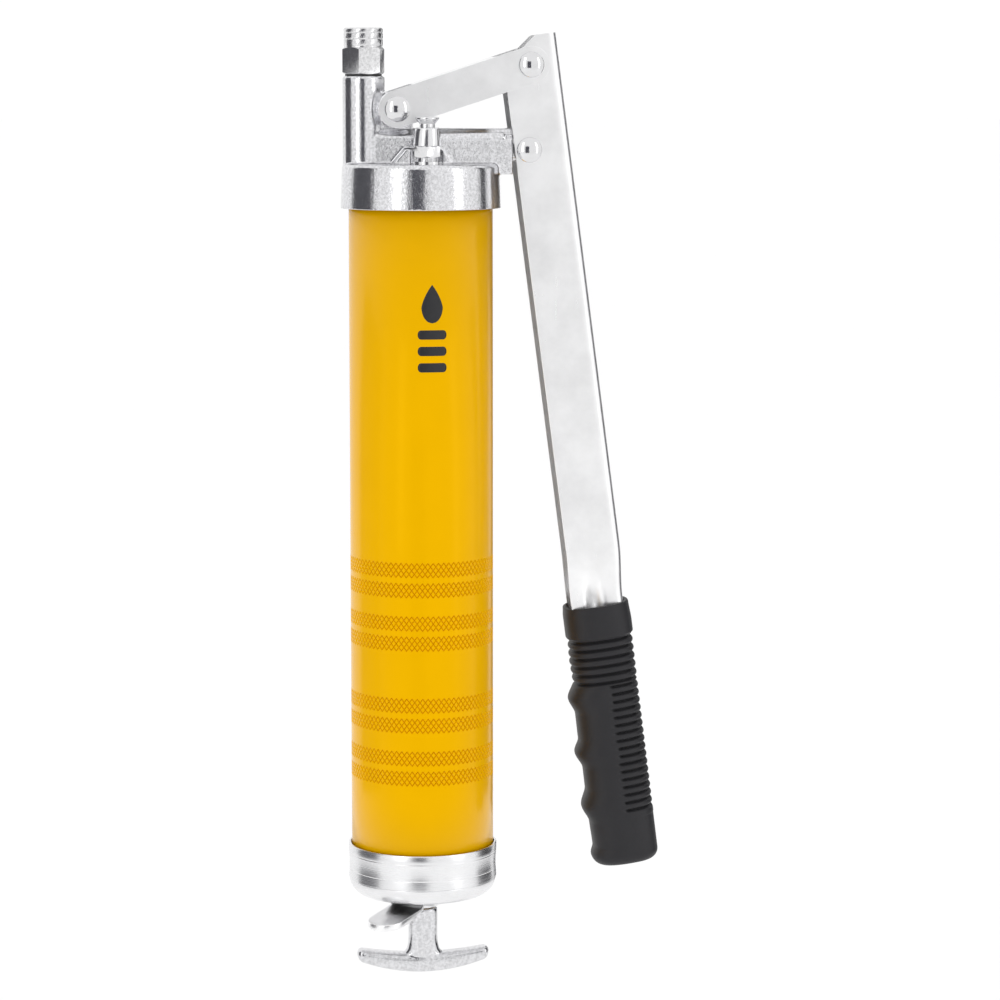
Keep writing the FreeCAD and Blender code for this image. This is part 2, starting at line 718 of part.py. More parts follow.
def lever():
    """The folded channel, open towards the barrel, with a narrow tang inside the grip."""
    channel = fuse(
        "lever_outside",
        block("lever_flanges", ("-lever_near", "-lever_half_depth", "-lever_below"),
              ("lever_far - lever_bend", "lever_half_depth", "lever_above")),
        block("lever_web", (0, "lever_bend - lever_half_depth", "-lever_below"),
              ("lever_far", "lever_half_depth - lever_bend", "lever_above")),
        *[rod(f"lever_fold_{number}", "lever_bend", "lever_above + lever_below",
              ("lever_far - lever_bend", f"{side} * (lever_half_depth - lever_bend)", "-lever_below"))
          for number, side in enumerate((-1, 1))])
    hollow = block("lever_inside", (f"-lever_near - {PAST}", "-lever_inner", f"-lever_below - {PAST}"),
                   ("lever_far - lever_sheet", "lever_inner", f"lever_above + {PAST}"))
    corner_foot = f"lever_above - lever_corner_rise * (1 + {PAST} / lever_corner_x)"
    corner = slab("lever_corner", [
        (f"-lever_near - {PAST}", corner_foot),
        ("lever_corner_x - lever_near", "lever_above"),
        ("lever_corner_x - lever_near", f"lever_above + {PAST}"),
        (f"-lever_near - {PAST}", f"lever_above + {PAST}"),
    ], "2 * lever_half_depth")
    shell = cut(
        "lever_shell", channel, hollow, corner,
        rod("lever_plunger_hole", "pin_bore", "3 * lever_half_depth",
            (0, "-1.5 * lever_half_depth", 0), "Y"),
        rod("lever_link_hole", "pin_radius + lever_pin_play", "3 * lever_half_depth",
            ("lever_pin_x", "-1.5 * lever_half_depth", "lever_pin_rise"), "Y"))
    tang = cut(
        "lever_tang",
        block("tang_outside", ("-tang_near", "-tang_half_depth", "-lever_below - tang_length"),
              ("lever_far - lever_sheet / 2", "tang_half_depth", "4 - lever_below")),
        block("tang_inside", (f"-tang_near - {PAST}", "lever_sheet - tang_half_depth",
                              f"-lever_below - tang_length - {PAST}"),
              ("tang_far - lever_sheet", "tang_half_depth - lever_sheet", f"4 - lever_below + {PAST}")),
        block("tang_back", ("tang_far", "-2 * tang_half_depth", f"-lever_below - tang_length - {PAST}"),
              ("lever_far + 1", "2 * tang_half_depth", "-lever_below")))
    neck = cut(
        "lever_neck",
        block("neck_outside", ("-tang_near", "-lever_half_depth + 0.5", "-lever_below"),
              ("lever_far - lever_sheet / 2", "lever_half_depth - 0.5", "2 - lever_below")),
        block("neck_inside",
              (f"-tang_near - {PAST}", "lever_sheet - tang_half_depth", f"-lever_below - {PAST}"),
              ("tang_far - lever_sheet", "tang_half_depth - lever_sheet", f"2 - lever_below + {PAST}")))
    keep(on_lever(fuse("lever_whole", shell, tang, neck)), "lever_channel")


def grip():
    """The rubber grip: an oval bar with finger swells on the side towards the barrel."""
    swell = "grip_half_width - grip_middle"
    waist = f"{swell} - grip_bump"
    step = "grip_length / 5"
    side = [("2 - (" + waist + ")", "grip_top"), (f"-({waist})", "grip_top - grip_length / 30")]
    side.append((f"-({waist})", f"grip_top - 1.4 * {step}"))
    for number in range(3):
        side.append((f"-({swell})", f"grip_top - ({number} + 1.8) * {step}"))
        side.append((f"-({waist})", f"grip_top - ({number} + 2.25) * {step}"))
    side += [
        (f"-({waist}) - 1", "grip_foot + 4"),
        (f"3 - ({waist})", "grip_foot"),
        ("grip_half_width + grip_middle - 4", "grip_foot"),
        ("grip_half_width + grip_middle - 1.4", "grip_foot + 4"),
        ("grip_half_width + grip_middle - 0.4", "grip_top - grip_length / 30"),
        ("grip_half_width + grip_middle - 1", "grip_top"),
    ]
    oval = doc.addObject("Part::Ellipse", "grip_oval")
    oval.setExpression("MajorRadius", bound("grip_half_width"))
    oval.setExpression("MinorRadius", bound("grip_half_depth"))
    place(oval, ("grip_middle", 0, f"grip_foot - {PAST}"))
    bar = doc.addObject("Part::Extrusion", "grip_bar")
    bar.Base = oval
    bar.DirMode = "Custom"
    bar.Dir = Vector(0, 0, 1)
    bar.Solid = True
    bar.setExpression("LengthFwd", bound(f"grip_length + 2 * {PAST}"))
    pocket = cut(
        "grip_pocket",
        block("grip_pocket_outside", ("-tang_near - running_gap", "-tang_half_depth - running_gap",
                                      "-lever_below - tang_length - 1"),
              ("tang_far + running_gap", "tang_half_depth + running_gap", f"grip_top + {PAST}")),
        block("grip_core", (f"-tang_near - {PAST}", "lever_sheet + running_gap - tang_half_depth",
                            f"-lever_below - tang_length - {PAST}"),
              ("tang_far - lever_sheet - running_gap", "tang_half_depth - lever_sheet - running_gap",
               f"grip_top + 2 * {PAST}")))
    bar_inside = common("grip_solid", slab("grip_side", side, "2 * grip_half_depth"), bar)
    keep(on_lever(cut("grip_cut", bar_inside, pocket)), "lever_grip")


def follower():
    """The rod with its rubber cup, plates and nut, and the spring that drives them."""
    keep(turned("rod_bar", [
        (0, "handle_top - 1"),
        ("rod_radius", "handle_top - 1"),
        ("rod_radius", "rod_top - 0.6"),
        ("rod_radius - 0.6", "rod_top"),
        (0, "rod_top"),
    ]), "follower_rod")
    bore = "rod_radius + 0.02"
    keep(turned("cup_ring", [
        (bore, "cup_foot"),
        ("cup_radius - 1", "cup_foot"),
        ("cup_radius", "cup_foot + 1"),
        ("cup_radius", "cup_top"),
        ("cup_radius - cup_wall / 2", "cup_top"),
        ("plate_radius + 0.1", "cup_foot + cup_wall"),
        (bore, "cup_foot + cup_wall"),
    ]), "follower_cup")
    for node, foot in (("follower_back_plate", "back_plate_foot"),
                       ("follower_front_plate", "cup_foot + cup_wall")):
        keep(turned(node + "_disc", [
            (bore, foot),
            ("plate_radius", foot),
            ("plate_radius", f"({foot}) + plate_thickness"),
            (bore, f"({foot}) + plate_thickness"),
        ]), node)
    keep(cut("rod_nut_cut",
             hexagon("rod_nut_hex", "nut_flats", "nut_height", 0, (0, 0, "front_plate_top")),
             rod("rod_nut_bore", bore, "nut_height + 2", (0, 0, "front_plate_top - 1"))), "rod_nut")
    keep(coil("main_coil_spring", "spring_coil", "spring_wire", "spring_turns",
              "seat_top", "back_plate_foot"), "follower_spring")


def end_cap():
    waist = "cap_radius - cap_waist"
    shell = turned("cap_shell", [
        ("cap_bore", "cap_lip"),
        ("cap_radius", "cap_lip"),
        ("cap_radius", "cap_lip - 2.4"),
        (waist, "cap_lip - 4.2"),
        (waist, "shoulder_z + 5"),
        (f"{waist} - 0.6", "shoulder_z + 2"),
        (f"{waist} - 2", "shoulder_z"),
        ("hub_radius", "cone_foot"),
        ("hub_radius", "hub_foot"),
        ("bush_radius + running_gap", "hub_foot"),
        ("bush_radius + running_gap", "inner_cone_foot"),
        ("cap_bore - 3.2", "inner_cone_top"),
        ("cap_bore - 3.2", "ledge_z"),
        ("cap_bore - 1.6", "ledge_z"),
        ("cap_bore - 1.6", "barrel_foot - 0.1"),
        ("cap_bore", "barrel_foot - 0.1"),
    ])
    slot = to_lock_side(slab("lock_slot", [
        ("hub_radius + 1.6", "cone_foot - hub_height"),
        ("2 * lock_half_width + 3.2", "cone_foot - hub_height"),
        ("2 * lock_half_width + 3.2", "inner_cone_top + 3"),
        ("hub_radius + 1.6", "inner_cone_top + 3"),
    ], "lock_half_width + free_gap"))
    keep(cut("cap_cut", shell, slot), "end_cap")
    keep(turned("seat_ring", [
        ("rod_radius + lock_play", "ledge_z"),
        ("cap_bore - 1.8", "ledge_z"),
        ("cap_bore - 1.8", "seat_top"),
        ("rod_radius + lock_play", "seat_top"),
    ]), "spring_seat")
    keep(turned("bush_ring", [
        ("rod_bore", "hub_foot + 0.2"),
        ("bush_radius", "hub_foot + 0.2"),
        ("bush_radius", "inner_cone_foot - 0.1"),
        ("rod_bore", "inner_cone_foot - 0.1"),
    ]), "rod_bush")


def to_lock_side(item):
    """Turn a piece drawn along X about the barrel's axis to the lock plate's side."""
    place(item, ORIGIN, Rotation(Vector(0, 0, 1), 1))
    item.setExpression("Placement.Rotation.Angle", bound("lock_heading"))
    return item


def lock_plate():
    """The bent plate that grips the rod, its tongue reaching out through the cap's slot."""
    step_x = "lock_inner + 3.2"
    plate = slab("lock_bar", [
        ("-lock_inner", "lock_z"),
        ("lock_inner", "lock_z"),
        (step_x, "lock_z - lock_step"),
        ("lock_reach", "lock_tip_z"),
        ("lock_reach", "lock_tip_z + lock_sheet"),
        (f"{step_x} + 0.6", "lock_z - lock_step + lock_sheet"),
        ("lock_inner + 0.6", "lock_z + lock_sheet"),
        ("-lock_inner", "lock_z + lock_sheet"),
    ], "lock_half_width")
    rounds = common(
        "lock_rounds",
        slab("lock_field", [
            ("-lock_inner - 1", "lock_tip_z - 1"),
            ("lock_reach + 1", "lock_tip_z - 1"),
            ("lock_reach + 1", "lock_spring_foot + 1"),
            ("-lock_inner - 1", "lock_spring_foot + 1"),
        ], "lock_half_width + 1"),
        fuse("lock_plan",
             block("lock_middle", ("-lock_inner + 3", "-lock_half_width - 1", "lock_tip_z - 2"),
                   ("lock_reach - lock_half_width", "lock_half_width + 1", "lock_spring_foot + 2")),
             block("lock_root", ("-lock_inner", "4 - lock_half_width", "lock_tip_z - 2"),
                   ("0", "lock_half_width - 4", "lock_spring_foot + 2")),
             rod("lock_end", "lock_half_width", "lock_spring_foot - lock_tip_z + 4",
                 ("lock_reach - lock_half_width", 0, "lock_tip_z - 2"))))
    fulcrum = rod("lock_fulcrum", "lock_sheet / 2", "2 * lock_half_width - 8",
                  ("-lock_inner", "4 - lock_half_width", "lock_z + lock_sheet / 2"), "Y")
    tip = "lock_reach - lock_half_width"
    foot = "lock_tip_z - lock_rim"
    rim_top = f"lock_tip_z + lock_slope * (lock_reach - lock_rim_start) / (lock_reach - ({step_x}))"
    rim = common(
        "lock_rim_shape",
        slab("lock_rim_side", [
            ("lock_rim_start", f"{rim_top} - lock_rim"),
            ("lock_reach", foot),
            ("lock_reach", "lock_tip_z + lock_sheet / 2"),
            ("lock_rim_start", f"{rim_top} + lock_sheet / 2"),
        ], "lock_half_width"),
        cut("lock_rim_plan",
            fuse("lock_rim_outside",
                 block("lock_rim_long", ("lock_rim_start - 1", "-lock_half_width", f"{foot} - 1"),
                       (tip, "lock_half_width", "lock_z")),
                 rod("lock_rim_end", "lock_half_width", f"lock_z - ({foot}) + 1", (tip, 0, f"{foot} - 1"))),
            block("lock_rim_gap", ("lock_rim_start - 2", "lock_sheet - lock_half_width", f"{foot} - 2"),
                  (tip, "lock_half_width - lock_sheet", "lock_z + 1")),
            rod("lock_rim_hollow", "lock_half_width - lock_sheet", f"lock_z - ({foot}) + 3",
                (tip, 0, f"{foot} - 2"))))
    keep(to_lock_side(cut(
        "lock_cut", fuse("lock_solid", common("lock_shape", plate, rounds), fulcrum, rim),
        rod("lock_rod_hole", "lock_bore", "4 * lock_sheet", (0, 0, "lock_z - lock_sheet")))), "lock_plate")
    keep(coil("lock_coil_spring", "lock_spring_coil", "lock_spring_wire", "lock_spring_turns",
              "lock_spring_foot", "ledge_z"), "lock_spring")


def t_handle():
    """The cast crescent bar and its stem, fixed on the rod's end."""
    stem = turned("handle_stem", [
        (0, "handle_low + handle_thickness / 2"),
        ("stem_radius + 2.4", "handle_low + handle_thickness / 2"),
        ("stem_radius + 1.2", "handle_top + 1"),
        ("stem_radius", "handle_top + 4"),
        ("stem_radius", "stem_top - 0.8"),
        ("stem_radius - 0.8", "stem_top"),
        (0, "stem_top"),
    ])
    reach = "3 * handle_half_depth"
    low = rod("handle_low_side", "handle_low_arc", f"2 * {reach}",
              (0, f"-{reach}", "handle_low + handle_low_arc"), "Y")
    high = rod("handle_high_side", "handle_high_arc", f"4 * {reach}",
               (0, f"-2 * {reach}", "handle_top + handle_high_arc"), "Y")
    waist = "handle_half_length - handle_half_depth"
    plan = fuse(
        "handle_plan",
        block("handle_span", (f"-({waist})", "-handle_half_depth", "handle_low - 1"),
              (waist, "handle_half_depth", "handle_top + 20")),
        *[rod(f"handle_end_{number}", "handle_half_depth", "handle_top - handle_low + 21",
              (f"{side} * ({waist})", 0, "handle_low - 1")) for number, side in enumerate((-1, 1))])
    bar = cut("handle_bar", common("handle_blank", plan, low), high)
    keep(cut("handle_cut", fuse("handle_solid", bar, stem),
             rod("handle_bore", "rod_radius + 0.02", f"stem_top - handle_top + {PAST}",
                 (0, 0, "handle_top - 1"))), "t_handle")


def build():
    """Make every piece, check it, and write it to its own file."""
    for make in (barrel, head_casting, outlet, air_vent, pump, pins_and_clips, link, lever, grip,
                 follower, end_cap, lock_plate, t_handle):
        make()
    doc.recompute()
    for item in doc.Objects:
        if {"Invalid", "Error"} & set(item.State):
            raise RuntimeError(f"{item.Label} failed: {item.State}")
    os.makedirs("parts", exist_ok=True)
    for item in subparts:
        shape = item.Shape
        if shape.isNull() or not shape.isValid() or not shape.Solids:
            raise RuntimeError(f"{item.Label} has no valid solid")
        shape.exportStep(f"parts/{item.Label}.step")
        box = shape.BoundBox
        print(f"{item.Label:20s} solids {len(shape.Solids)} volume {shape.Volume:10.1f} mm3"
              f"  z {box.ZMin:7.1f} to {box.ZMax:6.1f}")


build()
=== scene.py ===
"""A lever grease gun: its visible pieces, finishes, lights and camera, laid out as an add-on."""

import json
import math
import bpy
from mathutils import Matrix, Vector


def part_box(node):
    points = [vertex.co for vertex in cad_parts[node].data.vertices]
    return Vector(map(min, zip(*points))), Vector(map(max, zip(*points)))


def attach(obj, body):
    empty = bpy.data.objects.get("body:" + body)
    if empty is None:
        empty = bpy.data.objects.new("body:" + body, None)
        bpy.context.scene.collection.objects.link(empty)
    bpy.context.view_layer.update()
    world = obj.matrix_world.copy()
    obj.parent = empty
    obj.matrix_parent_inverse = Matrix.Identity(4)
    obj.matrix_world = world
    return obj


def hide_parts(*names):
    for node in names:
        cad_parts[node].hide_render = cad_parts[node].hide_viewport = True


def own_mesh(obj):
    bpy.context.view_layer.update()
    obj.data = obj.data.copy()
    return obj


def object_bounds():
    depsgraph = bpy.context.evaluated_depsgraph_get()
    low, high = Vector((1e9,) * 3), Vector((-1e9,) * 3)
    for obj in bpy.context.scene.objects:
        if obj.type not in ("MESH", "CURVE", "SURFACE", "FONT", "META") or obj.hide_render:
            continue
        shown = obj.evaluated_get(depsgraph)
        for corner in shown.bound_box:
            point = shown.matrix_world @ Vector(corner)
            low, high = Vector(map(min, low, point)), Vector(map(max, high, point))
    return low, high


bl_info = {
    "name": "Grease Gun",
    "version": (1, 0, 0),
    "blender": (4, 5, 0),
    "location": "View3D > Sidebar > Grease Gun",
    "description": "Builds the visible pieces and finishes of a lever grease gun round its frame",
    "category": "Object",
}

import bmesh
import bpy
from bpy.props import FloatProperty, FloatVectorProperty, IntProperty, PointerProperty
from mathutils import Matrix, Vector

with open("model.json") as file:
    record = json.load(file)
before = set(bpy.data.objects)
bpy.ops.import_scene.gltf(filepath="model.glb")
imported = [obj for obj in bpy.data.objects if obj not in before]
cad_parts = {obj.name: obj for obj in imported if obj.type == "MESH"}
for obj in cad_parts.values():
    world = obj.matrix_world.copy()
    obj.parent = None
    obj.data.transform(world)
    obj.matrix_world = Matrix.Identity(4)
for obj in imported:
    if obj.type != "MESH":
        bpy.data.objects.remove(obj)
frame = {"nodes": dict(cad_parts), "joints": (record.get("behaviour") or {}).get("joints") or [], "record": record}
CAD_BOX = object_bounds()

MM = 0.001
FULL_TURN = 2 * math.pi
LEVER_TILT = math.radians(7.4)

JOINTS = {joint["name"]: joint for joint in frame["joints"]}
BODY_OF = {node: body for body, nodes in frame["record"]["behaviour"]["bodies"].items() for node in nodes}
LEVER_PIVOT = Vector(JOINTS["lever_swing"]["pos_m"])
LINK_PIVOT = Vector(JOINTS["link_turn"]["pos_m"])
LINK_END = sum(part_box("link_lever_pin"), Vector()) / 2
LINK_TILT = math.atan2(LINK_END.z - LINK_PIVOT.z, LINK_END.x - LINK_PIVOT.x)


# ---------------------------------------------------------------- settings

def colour(name, description, default):
    return FloatVectorProperty(name=name, description=description, subtype="COLOR", size=3, min=0, max=1,
                               default=default)


def length(name, description, millimetres):
    return FloatProperty(name=name, description=description, unit="LENGTH", min=0, default=millimetres * MM)


class GreaseGunFinishes(bpy.types.PropertyGroup):
    paint: colour("Barrel paint", "Colour of the barrel's enamel", (0.785, 0.415, 0.0))
    emblem: colour("Emblem", "Colour of the printed emblem", (0.012, 0.012, 0.014))
    casting: colour("Casting", "Colour of the bright head casting", (0.80, 0.80, 0.82))
    plating: colour("Plating", "Colour of turned plated steel", (0.80, 0.80, 0.81))
    sheet: colour("Sheet", "Colour of the plated sheet of the lever and link", (0.97, 0.97, 0.975))
    rubber: colour("Rubber", "Colour of the moulded grip", (0.016, 0.0155, 0.018))


class GreaseGunSizes(bpy.types.PropertyGroup):
    knurl_depth: length("Knurl depth", "Depth of the barrel's knurled grooves", 0.34)
    knurl_count: IntProperty(name="Knurl count", description="Diamonds round the barrel", min=20, max=160,
                             default=84)
    rib_depth: length("Rib depth", "Depth of the grip's ribs and grooves", 1.5)
    fold: length("Fold", "Outside radius of the sheet's folds", 2.4)


# ---------------------------------------------------------------- mesh helpers

def mesh_piece(name, verts, faces, material, smooth=True):
    """A new mesh object with one material."""
    mesh = bpy.data.meshes.new(name)
    mesh.from_pydata([tuple(v) for v in verts], [], faces)
    mesh.validate()
    mesh.update()
    piece = bpy.data.objects.new(name, mesh)
    bpy.context.scene.collection.objects.link(piece)
    piece.data.materials.append(material)
    if smooth:
        mesh.polygons.foreach_set("use_smooth", [True] * len(mesh.polygons))
    return piece


def tidy_normals(piece):
    """Make every face look outwards."""
    shape = bmesh.new()
    shape.from_mesh(piece.data)
    bmesh.ops.recalc_face_normals(shape, faces=shape.faces)
    shape.to_mesh(piece.data)
    shape.free()


def bake(piece):
    """Turn a piece's modifiers into plain mesh."""
    bpy.context.view_layer.update()
    depsgraph = bpy.context.evaluated_depsgraph_get()
    mesh = bpy.data.meshes.new_from_object(piece.evaluated_get(depsgraph), depsgraph=depsgraph)
    old = piece.data
    piece.modifiers.clear()
    piece.data = mesh
    bpy.data.meshes.remove(old)
    return piece


def modifier(piece, kind, **values):
    item = piece.modifiers.new(kind.lower(), kind)
    for key, value in values.items():
        setattr(item, key, value)
    return item


def place(piece, node):
    """Let a piece stand for a node, on the node's body."""
    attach(piece, BODY_OF[node])
    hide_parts(node)
    return piece


def grid_faces(rows, columns, closed=True):
    """Quads between rows of points; a closed row joins its last point to its first."""
    faces = []
    for row in range(rows - 1):
        for column in range(columns if closed else columns - 1):
            following = (column + 1) % columns
            faces.append((row * columns + column, row * columns + following,
                          (row + 1) * columns + following, (row + 1) * columns + column))
    return faces


def lathe(name, section, material, centre=(0, 0, 0), segments=128):
    """A turned solid from a closed half section of (radius, height) in metres."""
    verts = []
    for radius, height in section:
        for step in range(segments):
            angle = FULL_TURN * step / segments
            verts.append((centre[0] + radius * math.cos(angle), centre[1] + radius * math.sin(angle),
                          centre[2] + height))
    count = len(section)
    faces = grid_faces(count, segments)
    faces += [((count - 1) * segments + step, (count - 1) * segments + (step + 1) % segments,
               (step + 1) % segments, step) for step in range(segments)]
    piece = mesh_piece(name, verts, faces, material)
    tidy_normals(piece)
    return piece


def copy_of(node, name, material, flat_angle=1.0):
    """A copy of a node's mesh with its flat faces joined."""
    source = frame["nodes"][node]
    mesh = source.data.copy()
    mesh.materials.clear()
    piece = bpy.data.objects.new(name, mesh)
    bpy.context.scene.collection.objects.link(piece)
    mesh.materials.append(material)
    shape = bmesh.new()
    shape.from_mesh(mesh)
    bmesh.ops.remove_doubles(shape, verts=shape.verts, dist=0.002 * MM)
    bmesh.ops.dissolve_limit(shape, angle_limit=math.radians(flat_angle), verts=shape.verts,
                             edges=shape.edges, delimit={"NORMAL"})
    bmesh.ops.recalc_face_normals(shape, faces=shape.faces)
    shape.to_mesh(mesh)
    shape.free()
    mesh.polygons.foreach_set("use_smooth", [True] * len(mesh.polygons))
    return piece


def ease(piece, width, segments=2, angle=32):
    """Round a piece's sharp edges."""
    modifier(piece, "BEVEL", width=width, segments=segments, limit_method="ANGLE",
             angle_limit=math.radians(angle), harden_normals=True, use_clamp_overlap=True)
    return bake(piece)


def moved(points, matrix):
    return [matrix @ Vector(point) for point in points]


def lever_matrix():
    return Matrix.Translation(LEVER_PIVOT) @ Matrix.Rotation(-LEVER_TILT, 4, "Y")


def link_matrix():
    return Matrix.Translation(LINK_PIVOT) @ Matrix.Rotation(-LINK_TILT, 4, "Y")


def cylinder_cutter(centre, radius, half, matrix, segments=48):
    """A plain bar along Y, used only to cut a hole."""
    ring = [(centre[0] + radius * math.cos(FULL_TURN * step / segments), side * half,
             centre[1] + radius * math.sin(FULL_TURN * step / segments))
            for side in (-1, 1) for step in range(segments)]
    faces = grid_faces(2, segments)
    faces += [tuple(range(segments)), tuple(range(2 * segments - 1, segments - 1, -1))]
    mesh = bpy.data.meshes.new("cutter")
    mesh.from_pydata([tuple(v) for v in moved(ring, matrix)], [], faces)
    cutter = bpy.data.objects.new("cutter", mesh)
    bpy.context.scene.collection.objects.link(cutter)
    tidy_normals(cutter)
    return cutter


def carve(piece, cutter, operation="DIFFERENCE"):
    """Cut one closed mesh from another, or add it, and remove the tool."""
    modifier(piece, "BOOLEAN", object=cutter, operation=operation, solver="EXACT")
    bake(piece)
    bpy.data.objects.remove(cutter)
    return piece


# ---------------------------------------------------------------- finishes

# names the mesh attribute that marks the knurl grooves, where the enamel paints shade
GROOVE_SHADE_MARK = "groove"


class Shader:
    """A short way to lay out a material's nodes."""

    def __init__(self, name):
        self.material = bpy.data.materials.new(name)
        self.material.use_nodes = True
        self.nodes = self.material.node_tree.nodes
        self.links = self.material.node_tree.links
        self.main = self.nodes["Principled BSDF"]
        self.position = self.nodes.new("ShaderNodeTexCoord").outputs["Object"]

    def set(self, **values):
        for key, value in values.items():
            self.main.inputs[key.replace("_", " ")].default_value = value

    def link(self, source, target):
        self.links.new(source, target)

    def stretch(self, scale):
        mapping = self.nodes.new("ShaderNodeMapping")
        mapping.inputs["Scale"].default_value = scale
        self.link(self.position, mapping.inputs["Vector"])
        return mapping.outputs["Vector"]

    def noise(self, scale, detail=3.0, rough=0.5, vector=None):
        item = self.nodes.new("ShaderNodeTexNoise")
        item.inputs["Scale"].default_value = scale
        item.inputs["Detail"].default_value = detail
        item.inputs["Roughness"].default_value = rough
        self.link(vector or self.position, item.inputs["Vector"])
        return item.outputs["Fac"]

    def cells(self, scale, vector=None):
        item = self.nodes.new("ShaderNodeTexVoronoi")
        item.inputs["Scale"].default_value = scale
        self.link(vector or self.position, item.inputs["Vector"])
        return item.outputs["Distance"]

    def span(self, source, low, high, start=0.0, stop=1.0):
        item = self.nodes.new("ShaderNodeMapRange")
        item.inputs["From Min"].default_value = start
        item.inputs["From Max"].default_value = stop
        item.inputs["To Min"].default_value = low
        item.inputs["To Max"].default_value = high
        self.link(source, item.inputs["Value"])
        return item.outputs["Result"]

    def mix(self, factor, first, second):
        item = self.nodes.new("ShaderNodeMix")
        item.data_type = "RGBA"
        self.link(factor, item.inputs["Factor"])
        item.inputs["A"].default_value = (*first, 1)
        item.inputs["B"].default_value = (*second, 1)
        return item.outputs["Result"]

    def bump(self, height, strength, distance, after=None):
        item = self.nodes.new("ShaderNodeBump")
        item.inputs["Strength"].default_value = strength
        item.inputs["Distance"].default_value = distance
        self.link(height, item.inputs["Height"])
        if after:
            self.link(after, item.inputs["Normal"])
        return item.outputs["Normal"]

    def mark(self, name):
        """A number that the mesh carries on its points."""
        item = self.nodes.new("ShaderNodeAttribute")
        item.attribute_name = name
        return item.outputs["Fac"]

    def hollow_shade(self, low, high):
        """1 in grooves and 0 on flat or raised parts, from the surface's pointiness; it places painted shade."""
        item = self.nodes.new("ShaderNodeNewGeometry")
        return self.span(item.outputs["Pointiness"], 1.0, 0.0, low, high)

    def tint(self, factor, under, over):
        """Lay one more colour over a colour that is already a link."""
        item = self.nodes.new("ShaderNodeMix")
        item.data_type = "RGBA"
        self.link(factor, item.inputs["Factor"])
        self.link(under, item.inputs["A"])
        item.inputs["B"].default_value = (*over, 1)
        return item.outputs["Result"]

    def finish(self, base=None, rough=None, normal=None):
        for source, socket in ((base, "Base Color"), (rough, "Roughness"), (normal, "Normal")):
            if source:
                self.link(source, self.main.inputs[socket])
        return self.material


def shade(tint, share):
    return tuple(min(1.0, part * share) for part in tint)


def enamel(name, tint):
    """Gloss enamel with slight orange peel, and painted shade that makes it a little deeper in colour in the
    grooves.
    """
    shader = Shader(name)
    shader.set(Metallic=0.0, IOR=1.5, Specular_IOR_Level=0.4, Specular_Tint=(1.0, 0.62, 0.02, 1))
    cloud = shader.noise(60, 2)
    base = shader.mix(cloud, shade(tint, 0.97), shade(tint, 1.03))
    # painted shade: the enamel's colour is darkened where the mesh marks a knurl groove
    grooves = shader.span(shader.mark(GROOVE_SHADE_MARK), 0.0, 1.0, 0.35, 0.95)
    base = shader.tint(grooves, base, (tint[0] * 0.74, tint[1] * 0.6, 0.0))
    rough = shader.span(shader.noise(400, 2), 0.16, 0.26)
    return shader.finish(base, rough, shader.bump(shader.noise(900, 1), 0.05, 0.04 * MM))


def printed(name, tint):
    shader = Shader(name)
    shader.set(Metallic=0.0, IOR=1.45)
    base = shader.mix(shader.noise(500, 2), shade(tint, 0.8), shade(tint, 1.5))
    return shader.finish(base, shader.span(shader.noise(900, 2), 0.3, 0.42))


def cast_metal(name, tint, grain=840, depth=0.05, low=0.1, high=0.2):
    """Bright tumbled casting: soft dents, fine pits and darker marks."""
    shader = Shader(name)
    shader.set(Metallic=1.0)
    marks = shader.span(shader.noise(grain, 4, 0.65), 0.0, 1.0, 0.36, 0.62)
    base = shader.mix(marks, shade(tint, 0.74), tint)
    rough = shader.span(shader.noise(grain * 0.4, 3), low, high)
    dents = shader.bump(shader.noise(grain, 3, 0.65), 0.7, depth * MM)
    pits = shader.bump(shader.span(shader.cells(grain * 1.9), 0.0, 1.0, 0.0, 0.4), 0.5, 0.04 * MM, dents)
    return shader.finish(base, rough, pits)


def turned_metal(name, tint, low=0.12, high=0.24, lines=2600, depth=0.02):
    """Bright plated steel with fine lathe lines round its axis."""
    shader = Shader(name)
    shader.set(Metallic=1.0)
    rings = shader.noise(1.0, 2, 0.6, shader.stretch((20, 20, lines)))
    base = shader.mix(shader.noise(180, 3), shade(tint, 0.9), tint)
    rough = shader.span(rings, low, high)
    grain = shader.bump(shader.noise(1300, 2), 0.3, 0.02 * MM)
    return shader.finish(base, rough, shader.bump(rings, 0.2, depth * MM, grain))


def sheet_metal(name, tint, low=0.24, high=0.36):
    """Zinc-plated sheet: a satin surface with soft clouds and fine scratches."""
    shader = Shader(name)
    shader.set(Metallic=1.0)
    clouds = shader.noise(70, 4, 0.6)
    base = shader.mix(shader.span(clouds, 0.0, 1.0, 0.3, 0.7), shade(tint, 0.88), tint)
    streaks = shader.noise(1.0, 3, 0.6, shader.stretch((900, 900, 60)))
    rough = shader.span(streaks, low, high)
    waves = shader.bump(shader.noise(45, 2), 0.1, 0.3 * MM)
    return shader.finish(base, rough, shader.bump(streaks, 0.03, 0.01 * MM, waves))


def polished(name, tint, rough_low=0.07, rough_high=0.16):
    shader = Shader(name)
    shader.set(Metallic=1.0)
    base = shader.mix(shader.noise(300, 3), shade(tint, 0.9), tint)
    return shader.finish(base, shader.span(shader.noise(700, 3), rough_low, rough_high),
                         shader.bump(shader.noise(350, 2), 0.06, 0.04 * MM))


def moulded(name, tint, grain=1500, low=0.42, high=0.58):
    """Moulded rubber or fibre with a fine matt grain, and painted shade that makes it darkest in its grooves."""
    shader = Shader(name)
    shader.set(Metallic=0.0, IOR=1.5, Specular_IOR_Level=0.32)
    base = shader.mix(shader.noise(120, 3), shade(tint, 0.85), shade(tint, 1.2))
    # painted shade: hollows found from the pointiness are darkened to a tenth of the colour
    base = shader.tint(shader.hollow_shade(0.42, 0.49), base, shade(tint, 0.1))
    return shader.finish(base, shader.span(shader.noise(grain * 0.6, 3), low, high),
                         shader.bump(shader.noise(grain, 2, 0.6), 0.25, 0.05 * MM))


FINISHES = {}


